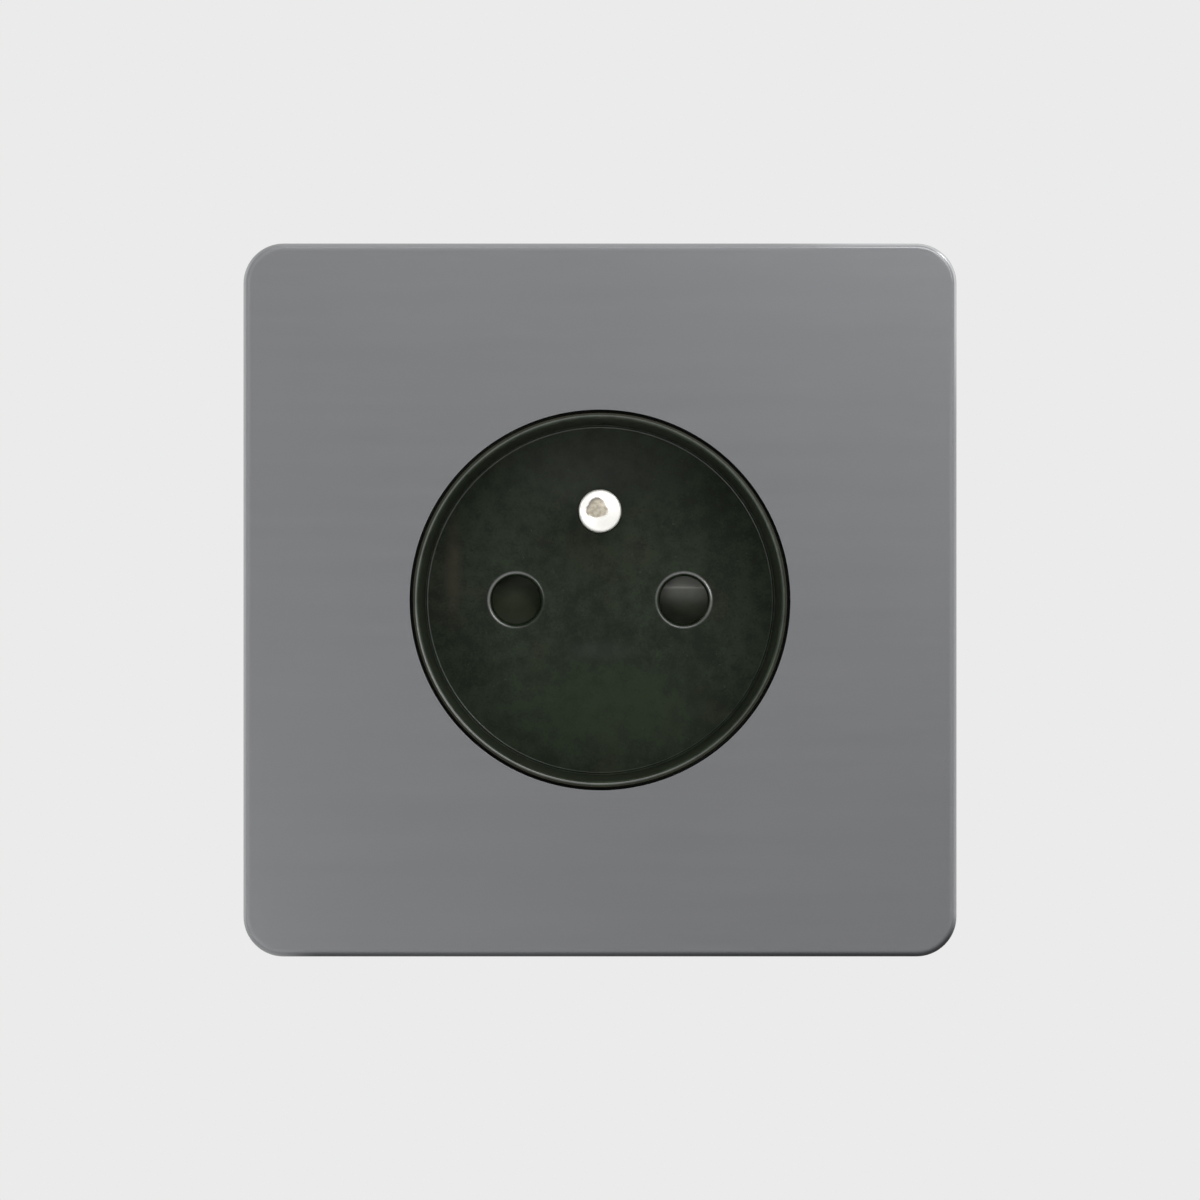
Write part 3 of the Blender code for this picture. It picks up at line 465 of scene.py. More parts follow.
def edge_masks(finish):
    """Where the plate's edge gets painted shade, where it gets a painted highlight and where it is rough.
    """
    inset, across, up = from_outline(finish), finish.axis("X"), finish.axis("Z")
    from_the_left = across.step(3 * MM - plate_half, 9 * MM - plate_half)
    low = up.step(5 * MM - plate_half, 1.5 * MM - plate_half) * from_the_left
    # Painted shade along the bottom edge and round the lower right corner.
    painted_dark_reflection = inset.step(DARK_REFLECTION_EDGE, 0.15 * MM) * low * (0.7 + 0.3 * across.step(-20 * MM, 30 * MM))
    upper_right = (across + up).step(58 * MM, 72 * MM)
    # Painted highlight on the edge, strongest at the upper right corner.
    painted_highlight = inset.step(HIGHLIGHT_EDGE, 0.05 * MM) * (1 - low) * (0.55 + 0.45 * upper_right)
    rough = inset.step(ROUGH_EDGE, 0.3 * MM) * (1 - upper_right)
    return painted_dark_reflection, painted_highlight, rough


def satin_metal():
    finish = Finish("satin grey metal", (0.178, 0.181, 0.187), 0.3, 1.0)
    strokes = finish.noise(0.09 * MM, 3, (60, 1, 1))
    bands = finish.noise(1.4 * MM, 3, (30, 1, 1))
    cloud = finish.noise(26 * MM, 2)
    tone = 0.5 + 0.25 * (strokes - 0.5) + 0.22 * (bands - 0.5) + 0.5 * (cloud - 0.5)
    metal = finish.blend(tone, (0.166, 0.169, 0.175), (0.19, 0.193, 0.199))
    painted_dark_reflection, painted_highlight, rough = edge_masks(finish)
    # Painted highlight in the edge's colour.
    metal = finish.blend(painted_highlight, metal, (0.5, 0.505, 0.51))
    # Painted shade in the bottom edge's colour.
    finish.set(Base_Color=finish.blend(painted_dark_reflection, metal, (0.045, 0.046, 0.048)))
    finish.set(Roughness=0.3 + 0.22 * rough + 0.06 * (strokes - 0.5) + 0.04 * (bands - 0.5))
    finish.bump(strokes, 0.0005 * MM)
    return finish.material


# %% [markdown]
# ## The well's plastic
#
# The insert is a black moulding with a hint of green. Its mould was spark-eroded, so the flat faces carry
# a fine mottled texture, in clouds of green-black and brown-black. Edges are another matter. Plugs and
# their pins slide over the rim, the bead round the floor and the inlets of the two pin holes, so these
# are rubbed smooth and have turned a little grey. A ring on the floor is a distance from an axis, so
# `ring` gives 1 on it and 0 beside it. It can be stronger towards one side: that lean is a painted
# highlight, brighter on the side of each ring that more light reaches, on top of the grey of the wear.
# The polish of a rubbed ring is a coat with a high index, which mirrors the lamps more sharply than the
# plastic under it.
#
# The table below holds the broad marks on the well's floor: a brown band on the left, a grey spot below
# the middle, a paler top and a greener foot. The paler top is painted light, where the rim shades the
# floor. The outside of the rim, beside the plate's edge, is a lighter brown.


# %% Black plastic
def ring(finish, radius, width, centre=(0, 0), towards=0, least=1.0):
    """A soft ring round an axis along y: 1 on the radius, 0 half a width away.

    It is strongest towards one direction, in degrees, and only so strong as least opposite. The lean
    paints a highlight on the side that more light reaches."""
    across, up = finish.axis("X") - centre[0], finish.axis("Z") - centre[1]
    away = abs((across**2 + up**2).root() - radius)
    angle = math.radians(towards)
    lean = across * (math.cos(angle) / radius) + up * (math.sin(angle) / radius)
    return away.step(width / 2, 0) * (least + (1 - least) * lean.step(-0.9, 0.9))


def patch(finish, centre, reach):
    """A soft oval spot: 1 in the middle, 0 at its reach, both as (x, z)."""
    across = (finish.axis("X") - centre[0]) / reach[0]
    up = (finish.axis("Z") - centre[1]) / reach[1]
    return (across**2 + up**2).root().step(1, 0.2)


# Where the marks on the well lie; the band at the foot of the wall is painted light.
WALL_RADIUS = FLOOR_RADIUS + 0.3 * MM
WALL_WIDTH = 1.2 * MM
CREST_WIDTH = 0.3 * MM
INLET_WIDTH = 0.5 * MM
BEAD_MARK = 0.34 * MM
OUTSIDE_WIDTH = 0.5 * MM

# Colour, middle, reach and strength, with middle and reach as (x, z).
STAINS_AND_PAINTED_LIGHT = [
    ((0.046, 0.04, 0.026), (-16.6 * MM, 3.6 * MM), (1.3 * MM, 8 * MM), 0.6),
    ((0.033, 0.038, 0.034), (0, -5.8 * MM), (5.5 * MM, 1.7 * MM), 0.35),
    # Painted light: the paler top of the floor, where the rim shades it.
    ((0.045, 0.05, 0.04), (0, 15.5 * MM), (15 * MM, 7.5 * MM), 0.4),
    ((0.013, 0.0265, 0.0085), (1 * MM, -12.5 * MM), (17 * MM, 9 * MM), 0.5),
]


def dappled(finish, grain, mottle):
    """The plastic's own colour: clouds of green-black and brown-black, pale specks and dark pores."""
    cloud = finish.noise(9 * MM, 3)
    tone = 0.5 + 2.8 * (mottle - 0.5) + 1.8 * (cloud - 0.5) + 1.8 * (grain - 0.5)
    green = finish.blend(tone, (0.0048, 0.0098, 0.003), (0.0178, 0.0275, 0.0138))
    brown = finish.blend(tone, (0.0095, 0.009, 0.0045), (0.0255, 0.0235, 0.014))
    browner = finish.noise(6 * MM, 2).step(0.52, 0.7)
    body = finish.blend(0.4 * browner, green, brown)
    specks = finish.noise(0.42 * MM, 1).step(0.74, 0.8)
    body = finish.blend(0.35 * specks, body, (0.07, 0.075, 0.065))
    pores = finish.noise(0.36 * MM, 1, (1.6, 1, 1)).step(0.66, 0.74)
    return finish.blend(0.55 * pores, body, (0.004, 0.006, 0.003))


def stained(finish, mottle, body):
    """The same colour with the broad stains and painted light on the floor, and a paler foot of the wall:
    painted light that lifts the shade there.
    """
    for colour, centre, reach, strength in STAINS_AND_PAINTED_LIGHT:
        body = finish.blend(patch(finish, centre, reach) * (strength * (0.5 + mottle)), body, colour)
    # Painted light: the foot of the wall is paler, lifting the shade that falls there.
    wall = ring(finish, WALL_RADIUS, WALL_WIDTH)
    return finish.blend(0.3 * wall, body, (0.04, 0.041, 0.034))


def black_plastic():
    colour = (0.0125, 0.0185, 0.0105)
    finish = Finish("black moulded plastic", colour, 0.42, 0.0, Specular_IOR_Level=0.15)
    grain = finish.noise(0.2 * MM, 4)
    mottle = finish.noise(1.7 * MM, 5)
    body = stained(finish, mottle, dappled(finish, grain, mottle))
    depth = finish.axis("Y")
    at_rim = depth.step(-rim_top + 0.8 * MM, -rim_top + 0.3 * MM)
    at_floor = depth.step(-floor_front - 0.6 * MM, -floor_front - 0.2 * MM)
    # Painted highlight: the crest, the inlets and the bead lean towards the side that more light reaches.
    crest = ring(finish, RIM_RADIUS, CREST_WIDTH, towards=212, least=0.35) * at_rim
    left_inlet = ring(finish, INLET_RING, INLET_WIDTH, (-pin_x, 0), towards=145, least=0.1)
    right_inlet = ring(finish, INLET_RING, INLET_WIDTH, (pin_x, 0), towards=70, least=0.4)
    inlets = left_inlet + right_inlet
    bead = ring(finish, BEAD_RADIUS, BEAD_MARK, towards=130, least=0.15)
    rubbed_and_painted_light = crest + at_floor * (inlets + 0.6 * bead)
    # Grey of the rubbed edges and the painted highlight in one.
    grey = (0.45 * crest + at_floor * (inlets + 0.3 * bead)) * (0.6 + 0.8 * mottle)
    outside = ring(finish, WELL_OUTER, OUTSIDE_WIDTH) * at_rim
    body = finish.blend(0.9 * outside, body, (0.042, 0.036, 0.028))
    finish.set(Base_Color=finish.blend(grey, body, (0.1, 0.105, 0.098)))
    finish.set(Roughness=0.46 + 0.3 * (mottle - 0.5) + 0.14 * (grain - 0.5) - 0.15 * rubbed_and_painted_light)
    finish.set(Coat_Weight=0.9 * rubbed_and_painted_light, Coat_Roughness=0.14, Coat_IOR=2.0)
    finish.bump(0.7 * grain + 0.3 * mottle, 0.006 * MM)
    return finish.material


# %% [markdown]
# The shutter is moulded from the same kind of plastic, but in a polished mould, so it is smoother. The
# right wing is painted paler, most at the start of its ramp and fading out down the ramp: painted light,
# for the light that falls on the right wing. The brow at the start of the right ramp carries a painted
# highlight as a pale line. The left hole shows no brow, so its wing stays dark and duller. The feet of
# both ramps are painted a lighter grey: painted light that lifts the shade where they lie deepest, so the
# depth is their mask.


# %% Shutter plastic
def shutter_plastic():
    finish = Finish("smooth black plastic", (0.014, 0.018, 0.012), 0.3, 0.0, Specular_IOR_Level=0.15)
    mottle = finish.noise(1.2 * MM, 3)
    grain = finish.noise(0.15 * MM, 3)
    on_right = finish.axis("X").step(-0.1 * MM, 0.1 * MM)
    height = finish.axis("Z")
    # Painted light: the right wing is paler, most near its brow and fading down the ramp.
    right = height.step(-2.2 * MM, 1.6 * MM) * on_right
    # Painted highlight: a pale line along the brow of the right ramp.
    brow = abs(height - RIGHT_RAMP).step(0.3 * MM, 0.06 * MM) * on_right
    rubbed_and_painted_light = right * (0.75 + 0.5 * mottle)
    # Painted light: the deepest parts, the feet of the ramps, are lighter.
    painted_light_at_feet = finish.axis("Y").step(-shutter_front + 0.2 * MM, -shutter_front + 4.2 * MM)
    dark = finish.blend(mottle, (0.0115, 0.015, 0.005), (0.0205, 0.0275, 0.011))
    dark = finish.blend(painted_light_at_feet * (0.7 + 0.6 * mottle), dark, (0.13, 0.145, 0.11))
    pale = finish.blend(rubbed_and_painted_light, dark, (0.12, 0.125, 0.11))
    finish.set(Base_Color=finish.blend(brow * 0.55, pale, (0.27, 0.275, 0.25)))
    finish.set(Roughness=0.52 - 0.2 * on_right + 0.2 * (mottle - 0.5) + 0.1 * (grain - 0.5))
    finish.bump(mottle, 0.004 * MM)
    return finish.material


# %% [markdown]
# ## The earth pin's plating
#
# The pin is turned brass with bright nickel on it. Turning leaves rings about the pin's axis, so the
# relief is a noise of the distance to that axis. The middle of the tip is where plugs first touch. A
# bell-shaped patch there, a little above the centre, is painted dull and beige and is darkest along its
# upper edge: a painted reflection of the camera in the domed tip.


# %% Nickel
# Where the painted reflection sits on the tip, measured from the pin's axis.
REFLECTION_ACROSS = -0.35 * MM
REFLECTION_UP = 0.42 * MM


def painted_reflection_on_tip(across, up, ragged):
    """Two masks on the tip: the bell-shaped painted reflection and the darkest part of it, its upper
    edge.
    """
    side, rise = across - REFLECTION_ACROSS, up - REFLECTION_UP
    bell = ((side * (1 + 0.3 * (rise / MM))) ** 2 + rise**2).root() + 0.45 * MM * (ragged - 0.5)
    upper = bell.step(0.55 * MM, 1.1 * MM) * (rise - 0.7 * side).step(0.1 * MM, 0.9 * MM)
    return bell.step(1.3 * MM, 1.0 * MM), upper


def nickel():
    finish = Finish("nickel plating", (0.95, 0.935, 0.89), 0.2, 1.0)
    across, up = finish.axis("X"), finish.axis("Z") - earth_height
    depth = finish.axis("Y")
    away = (across**2 + up**2).root()
    rings = finish.node("ShaderNodeCombineXYZ", values={0: away * 6, 1: depth * 4})
    turning = finish.node("ShaderNodeTexNoise", values={"Vector": rings, "Scale": 1 / MM, "Detail": 4})
    ragged = finish.noise(0.5 * MM, 4)
    bell, upper = painted_reflection_on_tip(across, up, ragged)
    # Painted reflection: the camera's reflection in the domed tip, painted as a dull beige patch.
    wear_and_painted_reflection = bell * depth.step(-earth_tip + 0.5 * MM, -earth_tip + 0.3 * MM)
    # Colour of the painted reflection, darkest along its upper edge.
    painted_dark_reflection = finish.blend(ragged.step(0.25, 0.75), (0.27, 0.24, 0.185), (0.55, 0.5, 0.41))
    painted_dark_reflection = finish.blend(0.9 * upper, painted_dark_reflection, (0.13, 0.122, 0.108))
    finish.set(Base_Color=finish.blend(wear_and_painted_reflection, (0.955, 0.945, 0.895), painted_dark_reflection))
    finish.set(Metallic=0.5 - 0.1 * wear_and_painted_reflection)
    finish.set(Roughness=0.24 + 0.14 * (turning - 0.5) + 0.3 * wear_and_painted_reflection)
    finish.bump(turning, 0.004 * MM)
    return finish.material


# %% [markdown]
# ## Finishes behind the wall
#
# The frame and the cages are zinc plated steel. Fresh zinc shows large, faint crystals, which a Voronoi
# texture draws, and it has a slightly blue and yellow tinge. The strip metals are drawn through rollers,
# so their streaks run along the strip. The base and the carrier are moulded: a fine even grain and slow
# changes of shade.


# %% Zinc, strip and moulded finishes
def zinc_steel():
    finish = Finish("zinc plated steel", (0.6, 0.61, 0.62), 0.34, 1.0)
    cells = {"Vector": finish.places, "Scale": 1 / (1.8 * MM)}
    crystals = finish.node("ShaderNodeTexVoronoi", values=cells, output="Color")
    shade = finish.node("ShaderNodeSeparateColor", values={0: crystals})
    fine = finish.noise(0.25 * MM, 3)
    stain = finish.noise(7 * MM, 3)
    metal = finish.blend(shade, (0.53, 0.55, 0.58), (0.66, 0.66, 0.65))
    finish.set(Base_Color=finish.blend(0.5 * stain, metal, (0.66, 0.62, 0.5)))
    finish.set(Roughness=0.3 + 0.12 * shade + 0.14 * (fine - 0.5))
    finish.bump(fine, 0.004 * MM)
    return finish.material


def strip_metal(name, light, dark):
    """Rolled strip: streaks along its length and a little tarnish."""
    finish = Finish(name, light, 0.28, 1.0)
    streaks = finish.noise(0.12 * MM, 3, (1, 12, 12))
    tarnish = finish.noise(2.2 * MM, 4)
    finish.set(Base_Color=finish.blend((0.5 * streaks + tarnish) * 0.7, light, dark))
    finish.set(Roughness=0.24 + 0.12 * (streaks - 0.5) + 0.25 * (tarnish - 0.4))
    finish.bump(streaks, 0.003 * MM)
    return finish.material


def moulded(name, colour, spread, roughness):
    """Moulded plastic: a spark-eroded grain and slow changes of shade where the plastic flowed."""
    finish = Finish(name, colour, roughness)
    grain = finish.noise(0.3 * MM, 3)
    flow = finish.noise(9 * MM, 3, (1, 2.5, 1))
    dark, light = [tuple(c * (1 + s * spread) for c in colour) for s in (-1, 1)]
    finish.set(Base_Color=finish.blend(0.5 + 0.9 * (flow - 0.5) + 0.5 * (grain - 0.5), dark, light))
    finish.set(Roughness=roughness + 0.14 * (grain - 0.5) + 0.1 * (flow - 0.5))
    finish.bump(grain, 0.008 * MM)
    return finish.material


# %% Make the finishes
finishes = {
    "satin_metal": satin_metal(),
    "black_plastic": black_plastic(),
    "shutter_plastic": shutter_plastic(),
    "nickel": nickel(),
    "zinc_steel": zinc_steel(),
    "brass": strip_metal("brass", (0.78, 0.6, 0.28), (0.5, 0.36, 0.17)),
    "bronze": strip_metal("phosphor bronze", (0.72, 0.46, 0.27), (0.45, 0.27, 0.16)),
    "spring_steel": strip_metal("spring steel", (0.56, 0.56, 0.57), (0.36, 0.36, 0.37)),
    "carrier_plastic": moulded("black carrier plastic", (0.03, 0.031, 0.03), 0.2, 0.5),
    "base_plastic": moulded("light grey plastic", (0.56, 0.56, 0.54), 0.05, 0.45),
}
print("finishes:", ", ".join(finishes))

# %% [markdown]
# ## Face plate
#
# A flat square with soft corners and a round hole. What gives it away as metal is its edge: a rounding of
# half a millimetre that catches the lamps as one thin line. The levels below follow a quarter circle.
# Round the hole, which a punch cuts, the edge is much crisper, and the back edge has only a small
# rounding too. Four studs behind the corners join the plate to its carrier.


# %% Build the face plate
PLATE_HOLE = 21.27 * MM
EDGE = 0.55 * MM
BACK_EDGE = 0.15 * MM
STUD_RADIUS = 1.5 * MM
STUD_LENGTH = 1.5 * MM
stud_at = half_width("plate_carrier") - 5.5 * MM
STUDS = [(x, y) for x in (-stud_at, stud_at) for y in (-stud_at, stud_at)]


def finish_piece(piece, slot, body="socket", edge=0):
    """Gives a new piece its finish and the body that it moves with."""
    piece.data.materials.clear()
    piece.data.materials.append(finishes[slot])
    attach(piece, body)
    return smooth(piece, edge)


def quarter(radius, steps=8):
    """How far a rounded edge has come in and how far it still is from the face, from side to face."""
    angles = [math.radians(90 * i / steps) for i in range(steps + 1)]
    return [(radius * (1 - math.cos(a)), radius * (1 - math.sin(a))) for a in angles]


def face_plate():
    back = [(inset, plate_back + left) for inset, left in quarter(BACK_EDGE, 3)][::-1]
    front = [(inset, plate_front - left) for inset, left in quarter(EDGE)]
    stack = []
    for inset, z in back + front:
        outline = rounded_square(plate_half - inset, PLATE_CORNER - inset)
        stack.append((outline, circle(PLATE_HOLE + inset / 5, steps=144), z))
    made = stacked("satin_plate", stack)
    studs = [rod("stud", STUD_RADIUS, plate_back - STUD_LENGTH, plate_back + MM, at) for at in STUDS]
    carve(made, "UNION", *studs)
    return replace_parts(finish_piece(made, "satin_metal"), "face_plate")


plate = face_plate()
print("face plate:", len(plate.data.polygons), "faces")

# %% [markdown]
# ## Well
#
# The well is one turned shape: a half-round rim that stands just proud of the plate, a wall with a slight
# draft so that it left its mould, a small fillet, and the floor. The rim is what the eye finds first,
# because a half-round always mirrors some lamp. Round the edge of the floor runs a fine bead, which shows
# as the second, fainter ring.
#
# Behind the plate the well has a square flange. Two opposite corners take the screws that hold the base,
# and the other two carry pegs that locate it. The pin holes are cut with turned tools, each with its own
# rounded inlet.


# %% Build the well
RIM_WIDTH = 0.66 * MM
FILLET = 0.12 * MM
PIN_HOLE = 2.7 * MM
INLET = 0.55 * MM
FLANGE_BACK = 1.5 * MM
FLANGE_FRONT = 3.5 * MM
FLANGE_CORNER = 8 * MM
FIXING = sum(corner.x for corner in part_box("upper_fixing_screw")) / 2
SCREW_HOLE = 1.5 * MM
EARTH_FIT = 0.08 * MM
BEAD_HEIGHT = 0.1 * MM
BEAD_WIDTH = 0.26 * MM
SCREW_SEAT = 2.6 * MM
SCREW_SEAT_DEPTH = 1.6 * MM
PEG_RADIUS = 1.5 * MM
PEG_LENGTH = 4.5 * MM


def well_profile():
    crest = RIM_WIDTH / 2
    centre = (WELL_OUTER - crest, rim_top - crest)
    rim = arc(crest, 180, 0, centre, 14)
    fillet = arc(FILLET, -90, 0, (FLOOR_RADIUS - FILLET, floor_front + FILLET), 6)
    bow = BEAD_WIDTH / 2
    bead = [(BEAD_RADIUS + bow * x, floor_front + BEAD_HEIGHT * y) for x, y in arc(1, 180, 0, steps=8)]
    inside = [(0, floor_front), *bead, *fillet]
    return [*inside, *rim, (WELL_OUTER, floor_back), (0, floor_back)]


def inlet_tool(centre):
    """A cutter with a rounded mouth."""
    mouth = arc(INLET, 180, 90, (PIN_HOLE + INLET, floor_front - INLET), 6)
    profile = [(0, floor_back - MM), (PIN_HOLE, floor_back - MM), *mouth]
    profile += [(PIN_HOLE + 2 * INLET, floor_front + MM), (0, floor_front + MM)]
    return turned("inlet", profile, 64, centre)


def opposite(turn):
    """Two opposite corners of the fixing square: 1 for the screws, -1 for the pegs."""
    return [(side * FIXING, side * turn * FIXING) for side in (-1, 1)]


def well():
    made = turned("well_moulding", well_profile(), 144)
    outline = [rounded_square(flange_half, FLANGE_CORNER), circle(WELL_OUTER - RIM_WIDTH / 2, steps=144)]
    carve(made, "UNION", stacked("flange", [(*outline, FLANGE_BACK), (*outline, FLANGE_FRONT)]))
    pegs = [rod("peg", PEG_RADIUS, FLANGE_BACK - PEG_LENGTH, FLANGE_BACK + MM, at) for at in opposite(-1)]
    carve(made, "UNION", *pegs)
    tools = [inlet_tool((x, 0)) for x in (-pin_x, pin_x)]
    earth_hole = earth_radius + EARTH_FIT
    tools.append(rod("earth_hole", earth_hole, floor_back - MM, floor_front + MM, (0, earth_height)))
    for at in opposite(1):
        tools.append(rod("screw_hole", SCREW_HOLE, 0, FLANGE_FRONT + MM, at))
        seat = FLANGE_FRONT - SCREW_SEAT_DEPTH
        tools.append(rod("screw_seat", SCREW_SEAT, seat, FLANGE_FRONT + MM, at))
    carve(made, "DIFFERENCE", *tools)
    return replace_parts(finish_piece(made, "black_plastic"), "socket_front")


socket_well = well()
print("well:", len(socket_well.data.polygons), "faces")

# %% [markdown]
# ## Earth pin
#
# A turned bar with a domed tip. The dome is made of two arcs, a tight one at the shoulder and a wide one
# across the tip, so that the whole tip mirrors the lamps and only its very edge goes dark.


# %% Build the earth pin
TIP_CURVE = 9.0 * MM
TIP_SHOULDER = 0.45 * MM
PIN_SHOULDER = -27.9 * MM
SPIGOT_RADIUS = 1.3 * MM
RIVET_RADIUS = 2.0 * MM
RIVET_FRONT = -29.2 * MM
RIVET_EDGE = 0.3 * MM


def earth_pin():
    spread = math.asin((earth_radius - TIP_SHOULDER) / (TIP_CURVE - TIP_SHOULDER))
    lean = 90 - math.degrees(spread)
    across = arc(TIP_CURVE, 90, lean, (0, earth_tip - TIP_CURVE), 8)
    drop = TIP_CURVE - (TIP_CURVE - TIP_SHOULDER) * math.cos(spread)
    shoulder = arc(TIP_SHOULDER, lean, 0, (earth_radius - TIP_SHOULDER, earth_tip - drop), 12)
    spigot = [(earth_radius, PIN_SHOULDER), (SPIGOT_RADIUS, PIN_SHOULDER), (SPIGOT_RADIUS, RIVET_FRONT)]
    rivet = arc(RIVET_EDGE, 0, -90, (RIVET_RADIUS - RIVET_EDGE, earth_back + RIVET_EDGE), 6)
    profile = [(0, earth_tip), *across[1:], *shoulder[1:], *spigot, (RIVET_RADIUS, RIVET_FRONT), *rivet]
    made = turned("earth_pin_turned", [*profile, (0, earth_back)], 64, (0, earth_height))
    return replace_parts(finish_piece(made, "nickel"), "earth_pin")


earth = earth_pin()
print("earth pin:", len(earth.data.polygons), "faces")
print("earth pin's length in mm:", round((earth_tip - earth_back) / MM, 1))

# %% [markdown]
# ## Shutter
#
# The shutter is a hub with two wings. Each wing closes one pin hole and carries a ramp, and the ramps
# face opposite ways round the hub, so that a pair of pins pushing on both of them turns the shutter,
# while a single probe only presses it against its housing. Through the right hole one sees a flat land
# above and the ramp below. The ramp starts at a small rounded step, which faces up and catches the light;
# its bright line is also a painted highlight. Through the left hole one sees only ramp.
#
# A wing is its side view drawn out along x. The ramp starts gently and ends steeply, like the solid's.
# Behind, the hub is hollow: there is a bore for the post, a wider room for the spring, and a notch for
# the spring's leg.


# %% Build the shutter
HUB_RADIUS = 5.2 * MM
WING_TOP = 3.6 * MM
WING_FOOT = -3.2 * MM
LEFT_RAMP = 3.3 * MM
RAMP_LEAD = 0.25
FOOT_THICKNESS = 0.9 * MM
STEP = 0.12 * MM
HUB_BORE = 2.1 * MM
SPRING_ROOM = 3.95 * MM
WEB = 2.0 * MM
NOTCH = 1.2 * MM
RAMP_STEPS = 32
WING_EDGE = 0.08 * MM


def prism(name, outline, left, right):
    """A side view of (y, z) points drawn out along x."""
    shape = bmesh.new()
    ends = [[shape.verts.new((x, y, z)) for y, z in outline] for x in (left, right)]
    for end in ends:
        shape.faces.new(end)
    for i in range(len(outline)):
        shape.faces.new((ends[0][i - 1], ends[0][i], ends[1][i], ends[1][i - 1]))
    return from_bmesh(name, shape)


def wing(name, ramp_top):
    fall = shutter_front - shutter_back - FOOT_THICKNESS
    ramp = []
    for step in range(1, RAMP_STEPS + 1):
        t = step / RAMP_STEPS
        drop = fall * (RAMP_LEAD * t + (1 - RAMP_LEAD) * t * t)
        ramp.append((ramp_top + (WING_FOOT - ramp_top) * t, shutter_front - drop))
    land = shutter_front - STEP
    brow = arc(STEP, 0, 90, (ramp_top, land), 6)
    outline = [(WING_TOP, shutter_back), (WING_TOP, land), *brow, *ramp, (WING_FOOT, shutter_back)]
    return prism(name, outline, HUB_RADIUS / 2, wing_reach)


def shutter():
    made = rod("rotary_shutter", HUB_RADIUS, shutter_back, shutter_front, steps=96)
    left = wing("left_wing", LEFT_RAMP)
    left.data.transform(Matrix.Rotation(math.pi, 4, "Y"))
    carve(made, "UNION", wing("right_wing", RIGHT_RAMP), left)
    below, web, above = shutter_back - MM, shutter_front - WEB, shutter_front + MM
    bore = [(0, above), (HUB_BORE, above), (HUB_BORE, web)]
    room = [*bore, (SPRING_ROOM, web), (SPRING_ROOM, below), (0, below)]
    carve(made, "DIFFERENCE", turned("spring_room", room))
    outside, inside = -HUB_RADIUS - MM, -SPRING_ROOM + 0.2 * MM
    notch = [(outside, below), (inside, below), (inside, web), (outside, web)]
    carve(made, "DIFFERENCE", prism("notch", notch, -NOTCH / 2, NOTCH / 2))
    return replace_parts(finish_piece(made, "shutter_plastic", "shutter", WING_EDGE), "shutter")


rotary_shutter = shutter()
print("shutter:", len(rotary_shutter.data.polygons), "faces")

# %% [markdown]
# ## Return spring
#
# A torsion spring brings the shutter back. Its turns lie round the post, one leg stands in a hole of the
# housing and the other lies in the shutter's notch. In the socket, when the shutter turns, that leg goes
# with it and the turns share the twist; here the spring is built at rest and follows no body.


# %% Wind the spring
SPRING_WIRE = 0.5 * MM
SPRING_TURNS = 2.5
SPRING_PITCH = 0.8 * MM
TURN_STEPS = 40


def wire(name, points, thickness):
    """A round wire along points, as a mesh."""
    path = bpy.data.curves.new(name, "CURVE")
    path.dimensions = "3D"
    path.bevel_depth = thickness / 2
    path.bevel_resolution = 3
    path.use_fill_caps = True
    line = path.splines.new("POLY")
    line.points.add(len(points) - 1)
    for point, place in zip(line.points, points):
        point.co = (*place, 1)
    drawn = bpy.data.objects.new(name, path)
    bpy.context.scene.collection.objects.link(drawn)
    graph = bpy.context.evaluated_depsgraph_get()
    mesh = bpy.data.meshes.new_from_object(drawn.evaluated_get(graph))
    bpy.data.objects.remove(drawn)
    return add(name, mesh)


def torsion_spring():
    back, front = levels("shutter_spring")
    radius = half_width("shutter_spring") - SPRING_WIRE / 2
    top = front - SPRING_WIRE / 2
    points = [(0, -HUB_RADIUS + SPRING_WIRE, top)]
    for step in range(round(SPRING_TURNS * TURN_STEPS) + 1):
        turns = step / TURN_STEPS
        angle = math.radians(360 * turns - 90)
        points.append((radius * math.cos(angle), radius * math.sin(angle), top - SPRING_PITCH * turns))
    x, y, coil_back = points[-1]
    made = wire("torsion_spring", [*points, (x, y, back)], SPRING_WIRE)
    made.data.materials.append(finishes["spring_steel"])
    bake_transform(smooth(made), "socket", "shutter", start=(0, -coil_back, 0), end=(0, -top, 0))
    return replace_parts(made, "shutter_spring")


spring = torsion_spring()
print("spring:", len(spring.data.polygons), "faces")

# %% [markdown]
# ## Finishes on the solids
#
# Everything else keeps its solid. Each one gets the finish of its material slot and the same smoothing.


# %% Dress the solids
slots = {entry["node"]: entry["material_slot"] for entry in frame["record"]["subparts"]}
for name, solid in solids.items():
    solid.data.materials.clear()
    solid.data.materials.append(finishes[slots[name]])
    if not solid.hide_render:
        smooth(solid)
print("solids that show:", sum(not solid.hide_render for solid in solids.values()))

# %% [markdown]
# ## Studio
#
# The photograph is a plain product shot: an even pale background and soft light. The camera sees the
# world as that background, and so do the metal and the polished edges in their reflections. The light
# that the world gives is another matter: it is weaker from below than from above, as in a room.


# %% World
BACKDROP = 0.83
LIGHT_BELOW = 0.45
LIGHT_LEVEL = 0.6
LIGHT_ABOVE = 0.66


